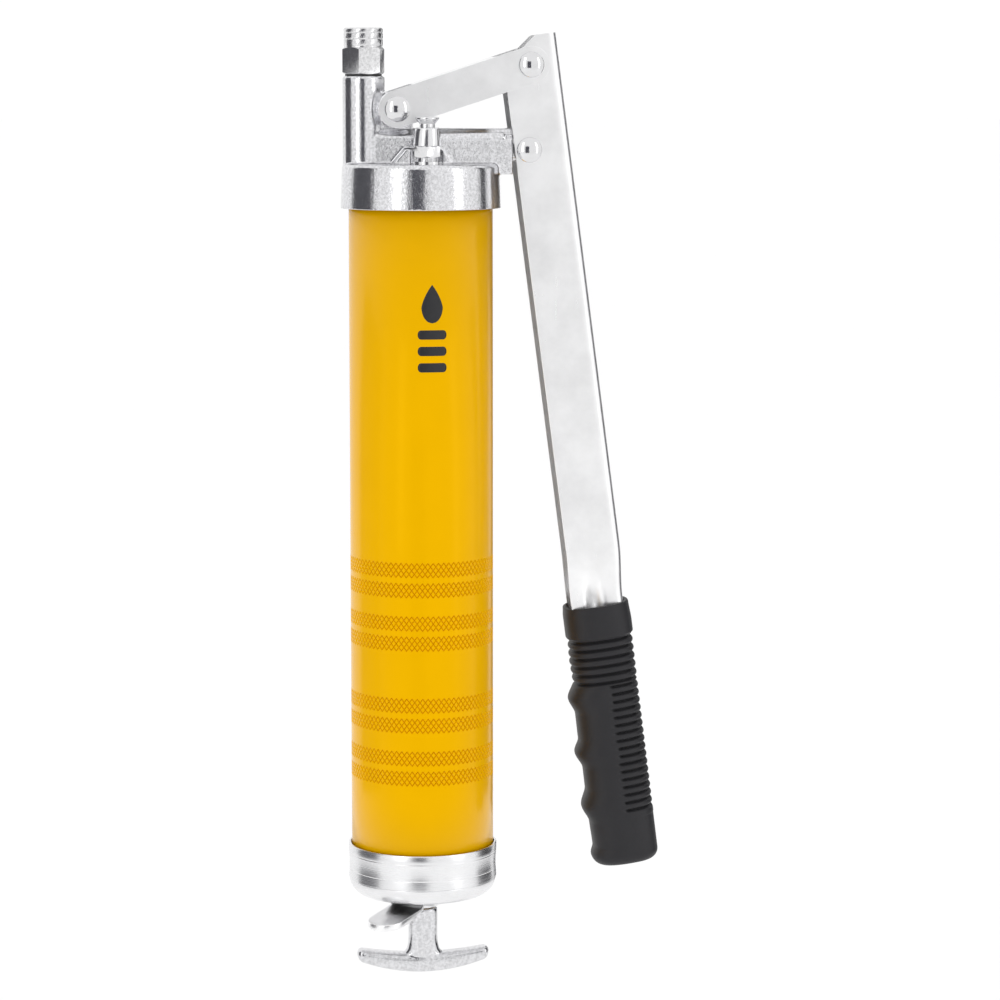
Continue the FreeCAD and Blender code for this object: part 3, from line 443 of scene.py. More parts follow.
def make_finishes():
    """One material for each slot of the record, and the emblem's print."""
    tints = bpy.context.scene.grease_gun_finishes
    paint, casting, plating = tuple(tints.paint), tuple(tints.casting), tuple(tints.plating)
    sheet, rubber = tuple(tints.sheet), tuple(tints.rubber)
    FINISHES.update(
        yellow_paint=enamel("yellow_enamel", paint),
        emblem=printed("emblem_print", tuple(tints.emblem)),
        cast_zinc=cast_metal("bright_casting", casting, 980, 0.055),
        tumbled_steel=cast_metal("tumbled_steel", plating, 900, 0.06, 0.14, 0.26),
        cast_bright=cast_metal("handle_casting", shade(casting, 0.95), 900, 0.035, 0.08, 0.16),
        plated_steel=turned_metal("plated_steel", plating),
        bright_steel=turned_metal("bright_cap_steel", shade(plating, 1.08), 0.2, 0.34, 1500, 0.045),
        zinc_sheet=sheet_metal("zinc_sheet", sheet),
        hard_steel=polished("ground_steel", shade(plating, 0.8)),
        pin_steel=polished("pin_steel", shade(plating, 0.95)),
        spring_steel=polished("spring_wire", shade(plating, 0.5), 0.2, 0.35),
        bronze=turned_metal("bush_bronze", (0.62, 0.42, 0.2), 0.25, 0.4),
        gasket=moulded("gasket_fibre", (0.02, 0.02, 0.02)),
        black_rubber=moulded("grip_rubber", rubber),
        black_rubber_inner=moulded("cup_rubber", (0.03, 0.03, 0.03), 1200),
    )


def dress_nodes():
    """Give every node that stays in view the material of its slot."""
    for row in frame["record"]["subparts"]:
        for slot in frame["nodes"][row["node"]].material_slots:
            slot.material = FINISHES[row["material_slot"]]


# ---------------------------------------------------------------- barrel

BARREL_WALL = 1.2 * MM
BAND_HEIGHT = 5.7 * MM
BAND_ROWS = 2
BAND_RUN_OUT = 0.25 * MM
BAND_MIDDLE = -1.0 * MM
BAND_STEPS = (27.0 * MM, 10.6 * MM, 4.0 * MM)
CELL_STEPS = 6


def band_centres():
    """The heights of the eight knurled bands: two groups of two pairs."""
    centres = [BAND_MIDDLE]
    for step in BAND_STEPS:
        centres = [centre + side * step for centre in centres for side in (-1, 1)]
    return sorted(centres)


def barrel_rings(low, high, outside):
    """The tube's rings from its foot, up its outside and down its bore: radius, height, the ring's step
    within a knurled band, and whether the strip that follows is flat-shaded."""
    bore = outside - BARREL_WALL
    steps = BAND_ROWS * CELL_STEPS
    rings = [(outside, low, None, False)]
    for centre in band_centres():
        foot, top = centre - BAND_HEIGHT / 2, centre + BAND_HEIGHT / 2
        rings += [(outside, foot - share * BAND_RUN_OUT, None, True) for share in (2, 1)]
        rings += [(outside, foot + BAND_HEIGHT * step / steps, step, True) for step in range(steps + 1)]
        rings += [(outside, top + BAND_RUN_OUT, None, True), (outside, top + 2 * BAND_RUN_OUT, None, False)]
    return rings + [(outside, high, None, False), (bore, high, None, False), (bore, low, None, False)]


def barrel_mesh(name, sizes, material):
    """The tube with its bands of crossed grooves, and a groove mark on every point for the enamel's painted shade
    in the grooves.
    """
    low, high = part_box("barrel")
    rings = barrel_rings(low.z, high.z, (high.x - low.x) / 2)
    columns = sizes.knurl_count * CELL_STEPS
    verts, marks, faces, smooth = [], [], [], []
    for radius, height, step, _ in rings:
        for column in range(columns):
            grooved = step is not None and 0 in ((column + step) % CELL_STEPS, (column - step) % CELL_STEPS)
            angle = FULL_TURN * column / columns
            reach = radius - (sizes.knurl_depth if grooved else 0.0)
            verts.append((reach * math.cos(angle), reach * math.sin(angle), height))
            marks.append(float(grooved))
    for row, (_, _, step, flat) in enumerate(rings):
        following = (row + 1) % len(rings)
        knurled = step is not None and rings[following][2] is not None
        for column in range(columns):
            beside = (column + 1) % columns
            first, second = row * columns + column, row * columns + beside
            third, fourth = following * columns + beside, following * columns + column
            if not knurled:
                strip = [(first, second, third, fourth)]
            elif (column + step + 1) % CELL_STEPS == 0:
                strip = [(first, second, fourth), (second, third, fourth)]
            else:
                strip = [(first, second, third), (first, third, fourth)]
            faces += strip
            smooth += [not flat] * len(strip)
    piece = mesh_piece(name, verts, faces, material)
    piece.data.polygons.foreach_set("use_smooth", smooth)
    # the groove mark places the enamel's painted shade in the knurl grooves
    piece.data.attributes.new(GROOVE_SHADE_MARK, "FLOAT", "POINT").data.foreach_set("value", marks)
    return piece


def emblem_shape(name, half_width, low, high, radius, angle, material, rows=24, columns=12):
    """A raised print on the barrel whose half width is a function of height."""
    verts = []
    for depth in (0.03 * MM, -0.05 * MM):
        for row in range(rows + 1):
            height = low + (high - low) * row / rows
            reach = max(half_width(row / rows), 0.02 * MM)
            for column in range(columns + 1):
                turn = angle + reach * (2 * column / columns - 1) / radius
                verts.append(((radius + depth) * math.cos(turn), (radius + depth) * math.sin(turn), height))
    layer = (rows + 1) * (columns + 1)
    front = grid_faces(rows + 1, columns + 1, closed=False)
    faces = front + [tuple(layer + corner for corner in reversed(face)) for face in front]
    rim = [column for column in range(columns + 1)]
    rim += [row * (columns + 1) + columns for row in range(1, rows + 1)]
    rim += [rows * (columns + 1) + column for column in range(columns - 1, -1, -1)]
    rim += [row * (columns + 1) for row in range(rows - 1, 0, -1)]
    for index, corner in enumerate(rim):
        following = rim[(index + 1) % len(rim)]
        faces.append((following, corner, layer + corner, layer + following))
    piece = mesh_piece(name, verts, faces, material)
    tidy_normals(piece)
    return piece


EMBLEM_TURN = 2.0 * MM
EMBLEM_FOOT = 137.7 * MM
DROP_TALL, DROP_HALF, DROP_ROUND = 15 * MM, 4.2 * MM, 0.42
BAR_TALL, BAR_HALF, BAR_END = 3.6 * MM, 4.4 * MM, 1.3 * MM
BAR_GAP, BAR_PITCH, BARS = 2.7 * MM, 6.4 * MM, 3


def drop_width(share):
    """Half width of an oil drop, from its round foot to its pointed top."""
    if share < DROP_ROUND:
        return DROP_HALF * math.sqrt(max(0.0, 1 - ((DROP_ROUND - share) / DROP_ROUND) ** 2))
    rise = (share - DROP_ROUND) / (1 - DROP_ROUND)
    return DROP_HALF * (1 - rise) * (1 + 0.55 * rise)


def bar_width(share):
    """Half width of a bar with round ends."""
    return BAR_HALF + BAR_END * math.sqrt(max(0.0, 1 - (2 * share - 1) ** 2))


# ---------------------------------------------------------------- castings

def soften(piece, voxel, rounds, ratio):
    """Join a piece's solids into one skin with soft cast edges."""
    modifier(piece, "REMESH", mode="VOXEL", voxel_size=voxel)
    modifier(piece, "SMOOTH", factor=0.5, iterations=rounds)
    if ratio < 1:
        modifier(piece, "DECIMATE", ratio=ratio)
    bake(piece)
    piece.data.polygons.foreach_set("use_smooth", [True] * len(piece.data.polygons))
    return piece


def join(piece, *others):
    """Merge other mesh objects into one, and remove them."""
    shape = bmesh.new()
    for item in (piece, *others):
        shape.from_mesh(item.data)
    shape.to_mesh(piece.data)
    shape.free()
    for item in others:
        bpy.data.objects.remove(item)
    return piece


def bar_between(name, low, high, material):
    """A plain block that is only added to a casting before its skin is softened."""
    corners = [(x, y, z) for x in (low[0], high[0]) for y in (low[1], high[1]) for z in (low[2], high[2])]
    faces = [(0, 1, 3, 2), (4, 6, 7, 5), (0, 4, 5, 1), (2, 3, 7, 6), (0, 2, 6, 4), (1, 5, 7, 3)]
    piece = mesh_piece(name, corners, faces, material)
    tidy_normals(piece)
    return piece


def head_mesh(material):
    """The head casting with soft edges and the parting line along its arm."""
    piece = copy_of("head_casting", "cast_head", material)
    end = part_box("head_casting")[1].x
    axis = LEVER_PIVOT.z
    seam = bar_between("seam", (LINK_PIVOT.x + 9 * MM, -7.75 * MM, axis + 4.0 * MM),
                       (end - 2 * MM, 7.75 * MM, axis + 4.5 * MM), material)
    join(piece, seam)
    return soften(piece, 0.42 * MM, 3, 0.55)


def squared(angle, power):
    """A point on a rounded square of half side 1."""
    across, up = math.cos(angle), math.sin(angle)
    return math.copysign(abs(across) ** power, across), math.copysign(abs(up) ** power, up)


def ringed(name, rings, material):
    """A closed solid through rings of points that all have the same count."""
    around_count = len(rings[0])
    verts = [point for ring in rings for point in ring]
    faces = grid_faces(len(rings), around_count)
    faces += [tuple(range(around_count)), tuple(range(len(verts) - 1, len(verts) - around_count - 1, -1))]
    piece = mesh_piece(name, verts, faces, material)
    tidy_normals(piece)
    return piece


def handle_mesh(material):
    """The crescent bar and its stem in one casting."""
    low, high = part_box("t_handle")
    half, foot = (high.x - low.x) / 2, low.z
    steps, around_count = 90, 40
    rings = []
    for step in range(steps + 1):
        share = math.sin(math.pi * (step / steps - 0.5))
        reach = abs(share)
        bottom = foot + 5.3 * MM * reach ** 2
        top = foot + (7.9 + 2.4 * reach ** 2) * MM
        end = max(0.02, math.sqrt(max(0.0, 1 - max(0.0, (reach - 0.92) / 0.08) ** 2)))
        middle, tall = (bottom + top) / 2, (top - bottom) / 2 * end
        deep = (4.4 - 0.5 * reach) * MM * end
        ring = [squared(FULL_TURN * turn / around_count, 0.62) for turn in range(around_count)]
        rings.append([(half * share, deep * across, middle + tall * up) for across, up in ring])
    bar = ringed("handle_casting", rings, material)
    rings = []
    for height, wide, deep in ((3, 7.5, 3.6), (6.8, 9.0, 4.1), (7.9, 7.7, 4.3), (9.6, 6.5, 4.5),
                               (12, 6.0, 4.8), (15, 5.85, 5.1), (26.0, 5.85, 5.3), (26.5, 5.5, 5.0),
                               (26.9, 5.0, 4.6)):
        ring = [squared(FULL_TURN * turn / around_count, 0.8) for turn in range(around_count)]
        rings.append([(wide * MM * across, deep * MM * up, min(foot + height * MM, high.z))
                      for across, up in ring])
    join(bar, ringed("stem", rings, material))
    return soften(bar, 0.33 * MM, 4, 0.6)


# ---------------------------------------------------------------- end cap

def cap_mesh(material):
    """The pressed cap: a rolled lip, a slight waist, a crease, and a cone down to its hub."""
    low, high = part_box("end_cap")
    outside = (high.x - low.x) / 2
    lip, foot = high.z, low.z
    bore = outside - 1.15 * MM
    wall = ((-0.25, 0.0), (0.0, -0.35), (0.0, -3.2), (-0.02, -3.35), (-0.07, -3.45), (-0.07, -3.6),
            (-0.03, -3.7), (-0.05, -3.9), (-0.28, -7.0), (-0.28, -10.1), (-0.26, -10.3), (-0.36, -10.5),
            (-0.24, -10.7), (-0.22, -10.9), (-0.05, -13.4), (-0.02, -13.9), (-0.02, -14.0), (-0.42, -14.2),
            (-0.42, -14.35), (-0.3, -14.4))
    section = [(bore, lip - 0.4 * MM), (bore + 0.3 * MM, lip)]
    section += [(outside + across * MM, lip + up * MM) for across, up in wall]
    wall_end, round_radius, round_steps = wall[-1], 6.6 * MM, 10
    for step in range(1, round_steps + 1):
        angle = math.radians(70) * step / round_steps
        section.append((outside + wall_end[0] * MM - round_radius * (1 - math.cos(angle)),
                        lip + wall_end[1] * MM - round_radius * math.sin(angle)))
    section += [(7.4 * MM, foot + 1.65 * MM), (6.6 * MM, foot + 1.0 * MM), (6.4 * MM, foot + 0.3 * MM),
                (6.1 * MM, foot), (5.4 * MM, foot), (5.4 * MM, foot + 3.2 * MM),
                (bore - 3.2 * MM, lip - 18.1 * MM), (bore - 3.2 * MM, lip - 15.8 * MM),
                (bore - 1.6 * MM, lip - 15.8 * MM), (bore - 1.6 * MM, lip - 12.5 * MM),
                (bore, lip - 12.5 * MM)]
    return lathe("pressed_cap", section, material, segments=160)


LOCK_HEADING = math.radians(234)
SLOT_LOW, SLOT_HIGH = (8 * MM, -7.9 * MM, -110 * MM), (18.2 * MM, 7.9 * MM, -88 * MM)


def lock_slot_cutter(material):
    """The slot that the lock plate's tongue comes out of."""
    block = bar_between("slot", SLOT_LOW, SLOT_HIGH, material)
    block.data.transform(Matrix.Rotation(LOCK_HEADING, 4, "Z"))
    return block


# ---------------------------------------------------------------- lever and link

def channel_section(near, far, half, sheet, fold, steps=7, spans=18):
    """The outline of a folded channel's cross-section, open towards -X."""
    def flank(first, last, y):
        return [(first + (last - first) * step / spans, y) for step in range(1, spans)]

    points = [(near, -half)] + flank(near, far - fold, -half)
    for side in (-1, 1):
        for step in range(steps + 1):
            angle = math.radians(90) * step / steps
            turn = angle - math.radians(90) if side < 0 else angle
            points.append((far - fold + fold * math.cos(turn), side * (half - fold) + fold * math.sin(turn)))
    points += flank(far - fold, near, half) + [(near, half), (near, half - sheet)]
    small = max(fold - sheet, 0.3 * MM)
    points += flank(near, far - sheet - small, half - sheet)
    for side in (1, -1):
        for step in range(steps + 1):
            angle = math.radians(90) * step / steps
            turn = math.radians(90) - angle if side > 0 else -angle
            points.append((far - sheet - small + small * math.cos(turn),
                           side * (half - sheet - small) + small * math.sin(turn)))
    return points + flank(far - sheet - small, near, sheet - half) + [(near, sheet - half)]


def ramp(value, start, stop):
    """0 before start, 1 after stop, and a smooth rise between them."""
    share = min(1.0, max(0.0, (value - start) / (stop - start)))
    return share * share * (3 - 2 * share)


LEVER_TOP, LEVER_CORNER = 44 * MM, 33.6 * MM
LEVER_NEAR, LEVER_FAR, LEVER_HALF, LEVER_SHEET = -5.6 * MM, 16.3 * MM, 10.5 * MM, 2 * MM
CORNER_CUT = 13.8 * MM
PINCH_START, PINCH_END = 160 * MM, 182 * MM
PINCH_NEAR, PINCH_FAR, PINCH_SIDE = 0.6 * MM, 1.3 * MM, 1.5 * MM
DENT_X, DENT_HEIGHT, DENT_WIDE, DENT_TALL, DENT_DEEP = 3 * MM, -182 * MM, 2.5 * MM, 9 * MM, 2.8 * MM
PIVOT_HOLE, LINK_HOLE = 2.55 * MM, 4.6 * MM
LINK_HOLE_PLACE = (4.77 * MM, 32.83 * MM)


def lever_heights():
    """The levels of the lever's rings: close at the cut top and at the pinch, wide between them."""
    heights = [LEVER_TOP - step * 0.8 * MM for step in range(16)]
    heights += [LEVER_TOP - (14 + step * 6) * MM for step in range(30)]
    heights += [-(152 + step * 1.2) * MM for step in range(33)]
    foot = GRIP_TOP - 7 * MM
    return sorted({round(height, 6) for height in heights if height > foot}, reverse=True)


def lever_mesh(sizes, material):
    """The pressed channel, its flanks squeezed in and dented where it enters the grip."""
    heights = lever_heights()
    verts = []
    for height in heights:
        cut = min(1.0, max(0.0, (height - LEVER_CORNER) / (LEVER_TOP - LEVER_CORNER)))
        pinch = ramp(-height, PINCH_START, PINCH_END)
        near = LEVER_NEAR + CORNER_CUT * cut - PINCH_NEAR * pinch
        far = LEVER_FAR - PINCH_FAR * pinch
        half = LEVER_HALF - PINCH_SIDE * pinch
        for x, y in channel_section(near, far, half, LEVER_SHEET, sizes.fold + 0.6 * MM):
            away = ((x - DENT_X) / DENT_WIDE) ** 2 + ((height - DENT_HEIGHT) / DENT_TALL) ** 2
            verts.append((x, y - math.copysign(DENT_DEEP * math.exp(-away), y), height))
    columns = len(verts) // len(heights)
    faces = grid_faces(len(heights), columns)
    faces += [tuple(range(columns)), tuple(range(len(verts) - 1, len(verts) - columns - 1, -1))]
    matrix = lever_matrix()
    piece = mesh_piece("pressed_lever", moved(verts, matrix), faces, material)
    tidy_normals(piece)
    carve(piece, cylinder_cutter((0, 0), PIVOT_HOLE, 16 * MM, matrix))
    carve(piece, cylinder_cutter(LINK_HOLE_PLACE, LINK_HOLE, 16 * MM, matrix))
    return ease(piece, 0.4 * MM, 3, 40)


def link_mesh(sizes, material):
    """The folded link, its long folds rounded."""
    piece = copy_of("link", "pressed_link", material)
    inverse = link_matrix().inverted()
    low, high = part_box("link")
    half_width = (high.y - low.y) / 2
    fold_height, near_fold, shortest = 7.2 * MM, 0.05 * MM, 3 * MM
    shape = bmesh.new()
    shape.from_mesh(piece.data)
    folds = []
    for edge in shape.edges:
        ends = [inverse @ vert.co for vert in edge.verts]
        on_fold = all(abs(end.z - fold_height) < near_fold and abs(abs(end.y) - half_width) < near_fold
                      for end in ends)
        if on_fold and (ends[0] - ends[1]).length > shortest:
            folds.append(edge)
    bmesh.ops.bevel(shape, geom=folds, offset=0.7 * sizes.fold, segments=5, profile=0.5, affect="EDGES")
    shape.to_mesh(piece.data)
    shape.free()
    ease(piece, 0.28 * MM, 2, 40)
    modifier(piece, "WEIGHTED_NORMAL", weight=80, keep_sharp=True)
    return bake(piece)


# ---------------------------------------------------------------- grip

GRIP_TOP, GRIP_FOOT = -183.8 * MM, -290.6 * MM
FIRST_RIB, RIB_PITCH, RIBS = -198.2 * MM, 3.38 * MM, 6
FIRST_GROOVE, GROOVE_PITCH, GROOVES = -217.0 * MM, 3.2 * MM, 17
GROOVE_START = 5.0 * MM
GRIP_HALF, GRIP_ROW = 12.4 * MM, 0.29 * MM
COLLAR_FOOT, COLLAR_STEP = -196.4 * MM, 0.5 * MM
FOOT_ROUND, MOUTH_ROUND = 4.0 * MM, 0.5 * MM
MOUTH_DEPTH, MOUTH_WALL = 2.5 * MM, 1.5 * MM
FINGER_SIDE = ((-183.8, -8.2), (-188, -8.6), (-197.5, -8.6), (-206, -8.9), (-215, -8.6), (-221.5, -11.35),
               (-228.2, -9.25), (-238.3, -9.35), (-243.8, -11.5), (-250.8, -9.05), (-258.5, -9.1),
               (-266, -11.55), (-273.3, -9.15), (-282.6, -8.95), (-286.5, -10.1), (-290.6, -9.95))
PALM_SIDE = ((-183.8, 17.0), (-192, 17.5), (-198, 17.5), (-230, 17.3), (-290.6, 17.1))


def along(points, height):
    """A smooth curve through (height, value) points, both in millimetres, read at a height in metres."""
    position = height / MM
    for index in range(len(points) - 1):
        (upper, first), (lower, second) = points[index], points[index + 1]
        if position >= lower:
            share = min(1.0, max(0.0, (upper - position) / (upper - lower)))
            return (first + (second - first) * share * share * (3 - 2 * share)) * MM
    return points[-1][1] * MM


def groove(height, first, count, pitch):
    """1 in each of a row of sharp grooves, falling to 0 on the rounded ribs between them."""
    position = (first - height) / pitch
    if position < -0.5 or position > count - 0.5:
        return 0.0
    from_rib = min(1.0, 1.2 * (1 - 2 * abs(position - round(position))))
    return 1 - math.sqrt(max(0.0, 1 - from_rib ** 2))


def quarter_round(distance, radius):
    """How far a rounded end steps in at a distance from it."""
    if distance >= radius:
        return 0.0
    return radius - math.sqrt(radius ** 2 - (radius - distance) ** 2)


def grip_mesh(sizes, material):
    """The moulded grip: collar, ribs, half grooves on the palm side and finger swells."""
    columns, rows = 112, int((GRIP_TOP - GRIP_FOOT) / GRIP_ROW)
    last_groove = FIRST_GROOVE - GROOVES * GROOVE_PITCH
    levels = [(GRIP_TOP - MOUTH_DEPTH, MOUTH_WALL + 1.4 * MM), (GRIP_TOP - MOUTH_DEPTH, MOUTH_WALL),
              (GRIP_TOP, MOUTH_WALL)]
    levels += [(GRIP_TOP + (GRIP_FOOT - GRIP_TOP) * row / rows, 0.0) for row in range(rows + 1)]
    rings = []
    for height, inwards in levels:
        near, far = along(FINGER_SIDE, height), along(PALM_SIDE, height)
        middle, half = (near + far) / 2, (far - near) / 2
        inset = inwards + quarter_round(height - GRIP_FOOT, FOOT_ROUND)
        if not inwards:
            inset += quarter_round(GRIP_TOP - height, MOUTH_ROUND)
        rib = groove(height, FIRST_RIB, RIBS, RIB_PITCH)
        cuts = groove(height, FIRST_GROOVE, GROOVES, GROOVE_PITCH)
        collar = COLLAR_STEP * (1 - ramp(-height, -COLLAR_FOOT, COLLAR_STEP - COLLAR_FOOT))
        ring = []
        for column in range(columns):
            x, y = squared(FULL_TURN * column / columns, 0.78)
            side = ramp(middle + half * x, GROOVE_START - 0.3 * MM, GROOVE_START + 0.3 * MM)
            sink = inset - collar + sizes.rib_depth * max(rib, cuts * side)
            if height < last_groove:
                sink += 0.15 * MM * side
            ring.append((middle + (half - sink) * x, (GRIP_HALF - sink) * y, height))
        rings.append(moved(ring, lever_matrix()))
    return ringed("moulded_grip", rings, material)


# ---------------------------------------------------------------- operators

class GreaseGunOperator:
    """What every operator here shares."""
    bl_options = {"REGISTER", "UNDO"}

    @property
    def sizes(self):
        return bpy.context.scene.grease_gun_sizes


class GREASEGUN_OT_finishes(GreaseGunOperator, bpy.types.Operator):
    """Make the materials and give each frame node its own"""
    bl_idname = "greasegun.finishes"
    bl_label = "Finishes"

    def execute(self, context):
        make_finishes()
        dress_nodes()
        return {"FINISHED"}


class GREASEGUN_OT_barrel(GreaseGunOperator, bpy.types.Operator):
    """Build the enamelled barrel with its knurled bands and printed emblem"""
    bl_idname = "greasegun.barrel"
    bl_label = "Barrel"

    def execute(self, context):
        place(barrel_mesh("enamelled_barrel", self.sizes, FINISHES["yellow_paint"]), "barrel")
        low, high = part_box("barrel")
        radius = (high.x - low.x) / 2
        angle = math.radians(-90) + EMBLEM_TURN / radius
        ink = FINISHES["emblem"]
        shapes = [emblem_shape("emblem_drop", drop_width, EMBLEM_FOOT, EMBLEM_FOOT + DROP_TALL, radius, angle,
                               ink, rows=40)]
        for number in range(BARS):
            top = EMBLEM_FOOT - BAR_GAP - BAR_PITCH * number
            shapes.append(emblem_shape(f"emblem_bar_{number + 1}", bar_width, top - BAR_TALL, top, radius,
                                       angle, ink))
        for piece in shapes:
            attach(piece, BODY_OF["barrel"])
        return {"FINISHED"}


class GREASEGUN_OT_castings(GreaseGunOperator, bpy.types.Operator):
    """Build the cast head and the cast T-handle with soft edges"""
    bl_idname = "greasegun.castings"
    bl_label = "Castings"

    def execute(self, context):
        place(head_mesh(FINISHES["cast_zinc"]), "head_casting")
        place(handle_mesh(FINISHES["cast_bright"]), "t_handle")
        return {"FINISHED"}


class GREASEGUN_OT_cap(GreaseGunOperator, bpy.types.Operator):
    """Build the pressed end cap with its slot, and the lock plate"""
    bl_idname = "greasegun.cap"
    bl_label = "End cap"

    def execute(self, context):
        metal = FINISHES["bright_steel"]
        cap = carve(cap_mesh(metal), lock_slot_cutter(metal))
        place(ease(cap, 0.2 * MM, 2, 50), "end_cap")
        tongue = copy_of("lock_plate", "lock_tongue", FINISHES["zinc_sheet"])
        place(ease(tongue, 0.3 * MM, 3, 30), "lock_plate")
        return {"FINISHED"}


class GREASEGUN_OT_lever(GreaseGunOperator, bpy.types.Operator):
    """Build the pressed lever and link"""
    bl_idname = "greasegun.lever"
    bl_label = "Lever and link"

    def execute(self, context):
        place(lever_mesh(self.sizes, FINISHES["zinc_sheet"]), "lever_channel")
        place(link_mesh(self.sizes, FINISHES["zinc_sheet"]), "link")
        return {"FINISHED"}


class GREASEGUN_OT_grip(GreaseGunOperator, bpy.types.Operator):
    """Build the moulded grip"""
    bl_idname = "greasegun.grip"
    bl_label = "Grip"

    def execute(self, context):
        place(grip_mesh(self.sizes, FINISHES["black_rubber"]), "lever_grip")
        return {"FINISHED"}


class GREASEGUN_OT_fittings(GreaseGunOperator, bpy.types.Operator):
    """Round the edges of the turned fittings and pins"""
    bl_idname = "greasegun.fittings"
    bl_label = "Fittings"

    def execute(self, context):
        slots = {row["node"]: row["material_slot"] for row in frame["record"]["subparts"]}
        for node, width in (("outlet_adapter", 0.12), ("vent_valve_body", 0.15), ("vent_stem", 0.12),
                            ("link_head_pin", 0.15), ("link_lever_pin", 0.15), ("plunger_pin", 0.15),
                            ("plunger", 0.25), ("gland_nut", 0.15), ("link_clips", 0.12),
                            ("plunger_clip", 0.12), ("rod_nut", 0.2)):
            finish = "tumbled_steel" if node == "outlet_adapter" else slots[node]
            piece = copy_of(node, "fitted_" + node, FINISHES[finish])
            place(ease(piece, width * MM), node)
        return {"FINISHED"}


class GREASEGUN_OT_springs(GreaseGunOperator, bpy.types.Operator):
    """Put a copy of each spring, with its own mesh, on the spring's body"""
    bl_idname = "greasegun.springs"
    bl_label = "Springs"

    def execute(self, context):
        for node, joint, up, travel in (("follower_spring", "rod_slide", 1, None),
                                        ("check_spring", "check_lift", -1, None),
                                        ("vent_spring", "vent_press", 1, None),
                                        ("lock_spring", "lock_tilt", -1, 1.0 * MM)):
            piece = copy_of(node, "wound_" + node, FINISHES["spring_steel"])
            place(piece, node)
            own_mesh(piece)
        return {"FINISHED"}


# ---------------------------------------------------------------- stage

CAMERA_PLACE = Vector((-109.3, -1321.7, 234.5)) * MM
CAMERA_YAW = math.radians(6.08)
CAMERA_PITCH = math.radians(7.286)
CAMERA_LENS = 120.5


def aim(item, target):
    item.rotation_euler = (Vector(target) - item.location).to_track_quat("-Z", "Y").to_euler()


def soft_light(name, place_at, target, wide, tall, power):
    light = bpy.data.lights.new(name, "AREA")
    light.shape = "RECTANGLE"
    light.size, light.size_y = wide, tall
    light.energy = power
    item = bpy.data.objects.new(name, light)
    bpy.context.scene.collection.objects.link(item)
    item.location = place_at
    aim(item, target)
    return item


def around(turn, distance):
    """A point on a level ring round the barrel, at an angle in degrees from its front towards +X."""
    angle = math.radians(turn)
    return Vector((distance * math.sin(angle), -distance * math.cos(angle), 60 * MM))


def plain(name, tint, rough):
    """Unglazed backdrop paper or cloth with a faint mottle."""
    shader = Shader(name)
    base = shader.mix(shader.noise(6, 2), shade(tint, 0.985), tint)
    shader.set(Roughness=rough, Specular_IOR_Level=0.2)
    return shader.finish(base)


def flag(name, place_at, target, wide, tall, material):
    """A dark cloth panel off to the side, which polished metal mirrors."""
    half_wide, half_tall = wide / 2, tall / 2
    corners = [(-half_wide, -half_tall, 0), (half_wide, -half_tall, 0), (half_wide, half_tall, 0),
               (-half_wide, half_tall, 0)]
    panel = mesh_piece(name, corners, [(0, 1, 2, 3)], material, smooth=False)
    panel.location = place_at
    aim(panel, target)
    panel.visible_camera = False
    panel.visible_shadow = False
    panel.visible_diffuse = False
    return panel


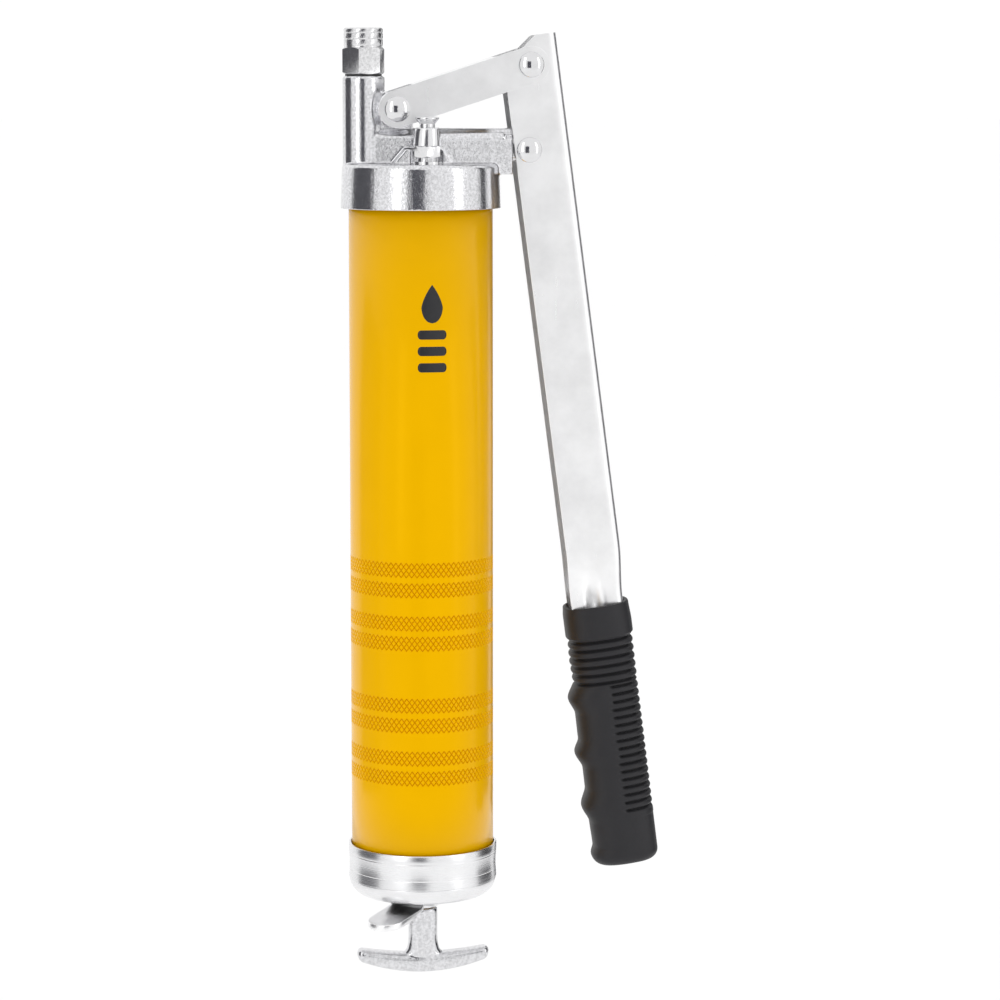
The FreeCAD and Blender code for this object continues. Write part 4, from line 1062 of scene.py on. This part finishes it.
class GREASEGUN_OT_stage(GreaseGunOperator, bpy.types.Operator):
    """Set the floor, the backdrop, the lights and the camera"""
    bl_idname = "greasegun.stage"
    bl_label = "Stage"

    def execute(self, context):
        scene = context.scene
        low, high = (Vector(corner) for corner in CAD_BOX)
        middle = (low + high) / 2
        floor_z = low.z - JOINTS["rod_slide"]["range_m"][1] - 10 * MM
        paper = plain("floor_paper", (0.985, 0.985, 0.985), 0.9)
        reach = 40.0
        floor = mesh_piece("floor", [(-reach, -reach, floor_z), (reach, -reach, floor_z),
                                     (reach, reach, floor_z), (-reach, reach, floor_z)],
                           [(0, 1, 2, 3)], paper)
        scene.view_settings.view_transform = "Standard"
        world = scene.world or bpy.data.worlds.new("studio")
        scene.world = world
        world.use_nodes = True
        world.node_tree.nodes["Background"].inputs["Color"].default_value = (1, 1, 1, 1)
        world.node_tree.nodes["Background"].inputs["Strength"].default_value = 1.03
        soft_light("key_light", (-0.75, -0.95, 0.5), middle, 0.22, 1.3, 1.6)
        soft_light("side_light", (0.95, -0.75, 0.4), middle, 0.2, 1.3, 1.2)
        cloth = plain("flag_cloth", (0.045, 0.045, 0.052), 0.9)
        slate = plain("slate_cloth", (0.09, 0.09, 0.1), 0.9)
        grey = plain("grey_cloth", (0.08, 0.08, 0.095), 0.9)
        for name, turn, distance, wide, material in (("flag_left", -98, 0.9, 0.74, slate),
                                                     ("flag_right", 110, 0.9, 0.66, cloth),
                                                     ("flag_back", 152, 0.9, 0.26, cloth),
                                                     ("flag_front", -9.6, 1.6, 0.66, grey)):
            flag(name, around(turn, distance), middle, wide, 1.5, material)
        camera = bpy.data.objects.new("camera", bpy.data.cameras.new("camera"))
        scene.collection.objects.link(camera)
        camera.data.lens = CAMERA_LENS
        camera.data.sensor_width = 36
        camera.location = CAMERA_PLACE
        direction = Vector((math.sin(CAMERA_YAW) * math.cos(CAMERA_PITCH),
                            math.cos(CAMERA_YAW) * math.cos(CAMERA_PITCH), -math.sin(CAMERA_PITCH)))
        camera.rotation_euler = direction.to_track_quat("-Z", "Y").to_euler()
        scene.camera = camera
        return {"FINISHED"}


OPERATORS = (GREASEGUN_OT_finishes, GREASEGUN_OT_barrel, GREASEGUN_OT_castings, GREASEGUN_OT_cap,
             GREASEGUN_OT_lever, GREASEGUN_OT_grip, GREASEGUN_OT_fittings, GREASEGUN_OT_springs,
             GREASEGUN_OT_stage)


class GREASEGUN_PT_panel(bpy.types.Panel):
    """The sizes, colours and builders of the grease gun"""
    bl_idname = "GREASEGUN_PT_panel"
    bl_label = "Grease Gun"
    bl_space_type = "VIEW_3D"
    bl_region_type = "UI"
    bl_category = "Grease Gun"

    def draw(self, context):
        for group in (context.scene.grease_gun_finishes, context.scene.grease_gun_sizes):
            column = self.layout.column()
            for name in group.__annotations__:
                column.prop(group, name)
        for operator in OPERATORS:
            self.layout.operator(operator.bl_idname)


CLASSES = (GreaseGunFinishes, GreaseGunSizes, *OPERATORS, GREASEGUN_PT_panel)


def register():
    for item in CLASSES:
        bpy.utils.register_class(item)
    bpy.types.Scene.grease_gun_finishes = PointerProperty(type=GreaseGunFinishes)
    bpy.types.Scene.grease_gun_sizes = PointerProperty(type=GreaseGunSizes)


def unregister():
    del bpy.types.Scene.grease_gun_sizes
    del bpy.types.Scene.grease_gun_finishes
    for item in reversed(CLASSES):
        bpy.utils.unregister_class(item)


def corners(box):
    return [[float(part) for part in corner] for corner in box]


def main():
    register()
    for operator in OPERATORS:
        group, name = operator.bl_idname.split(".")
        getattr(getattr(bpy.ops, group), name)()


if __name__ == "__main__":
    main()
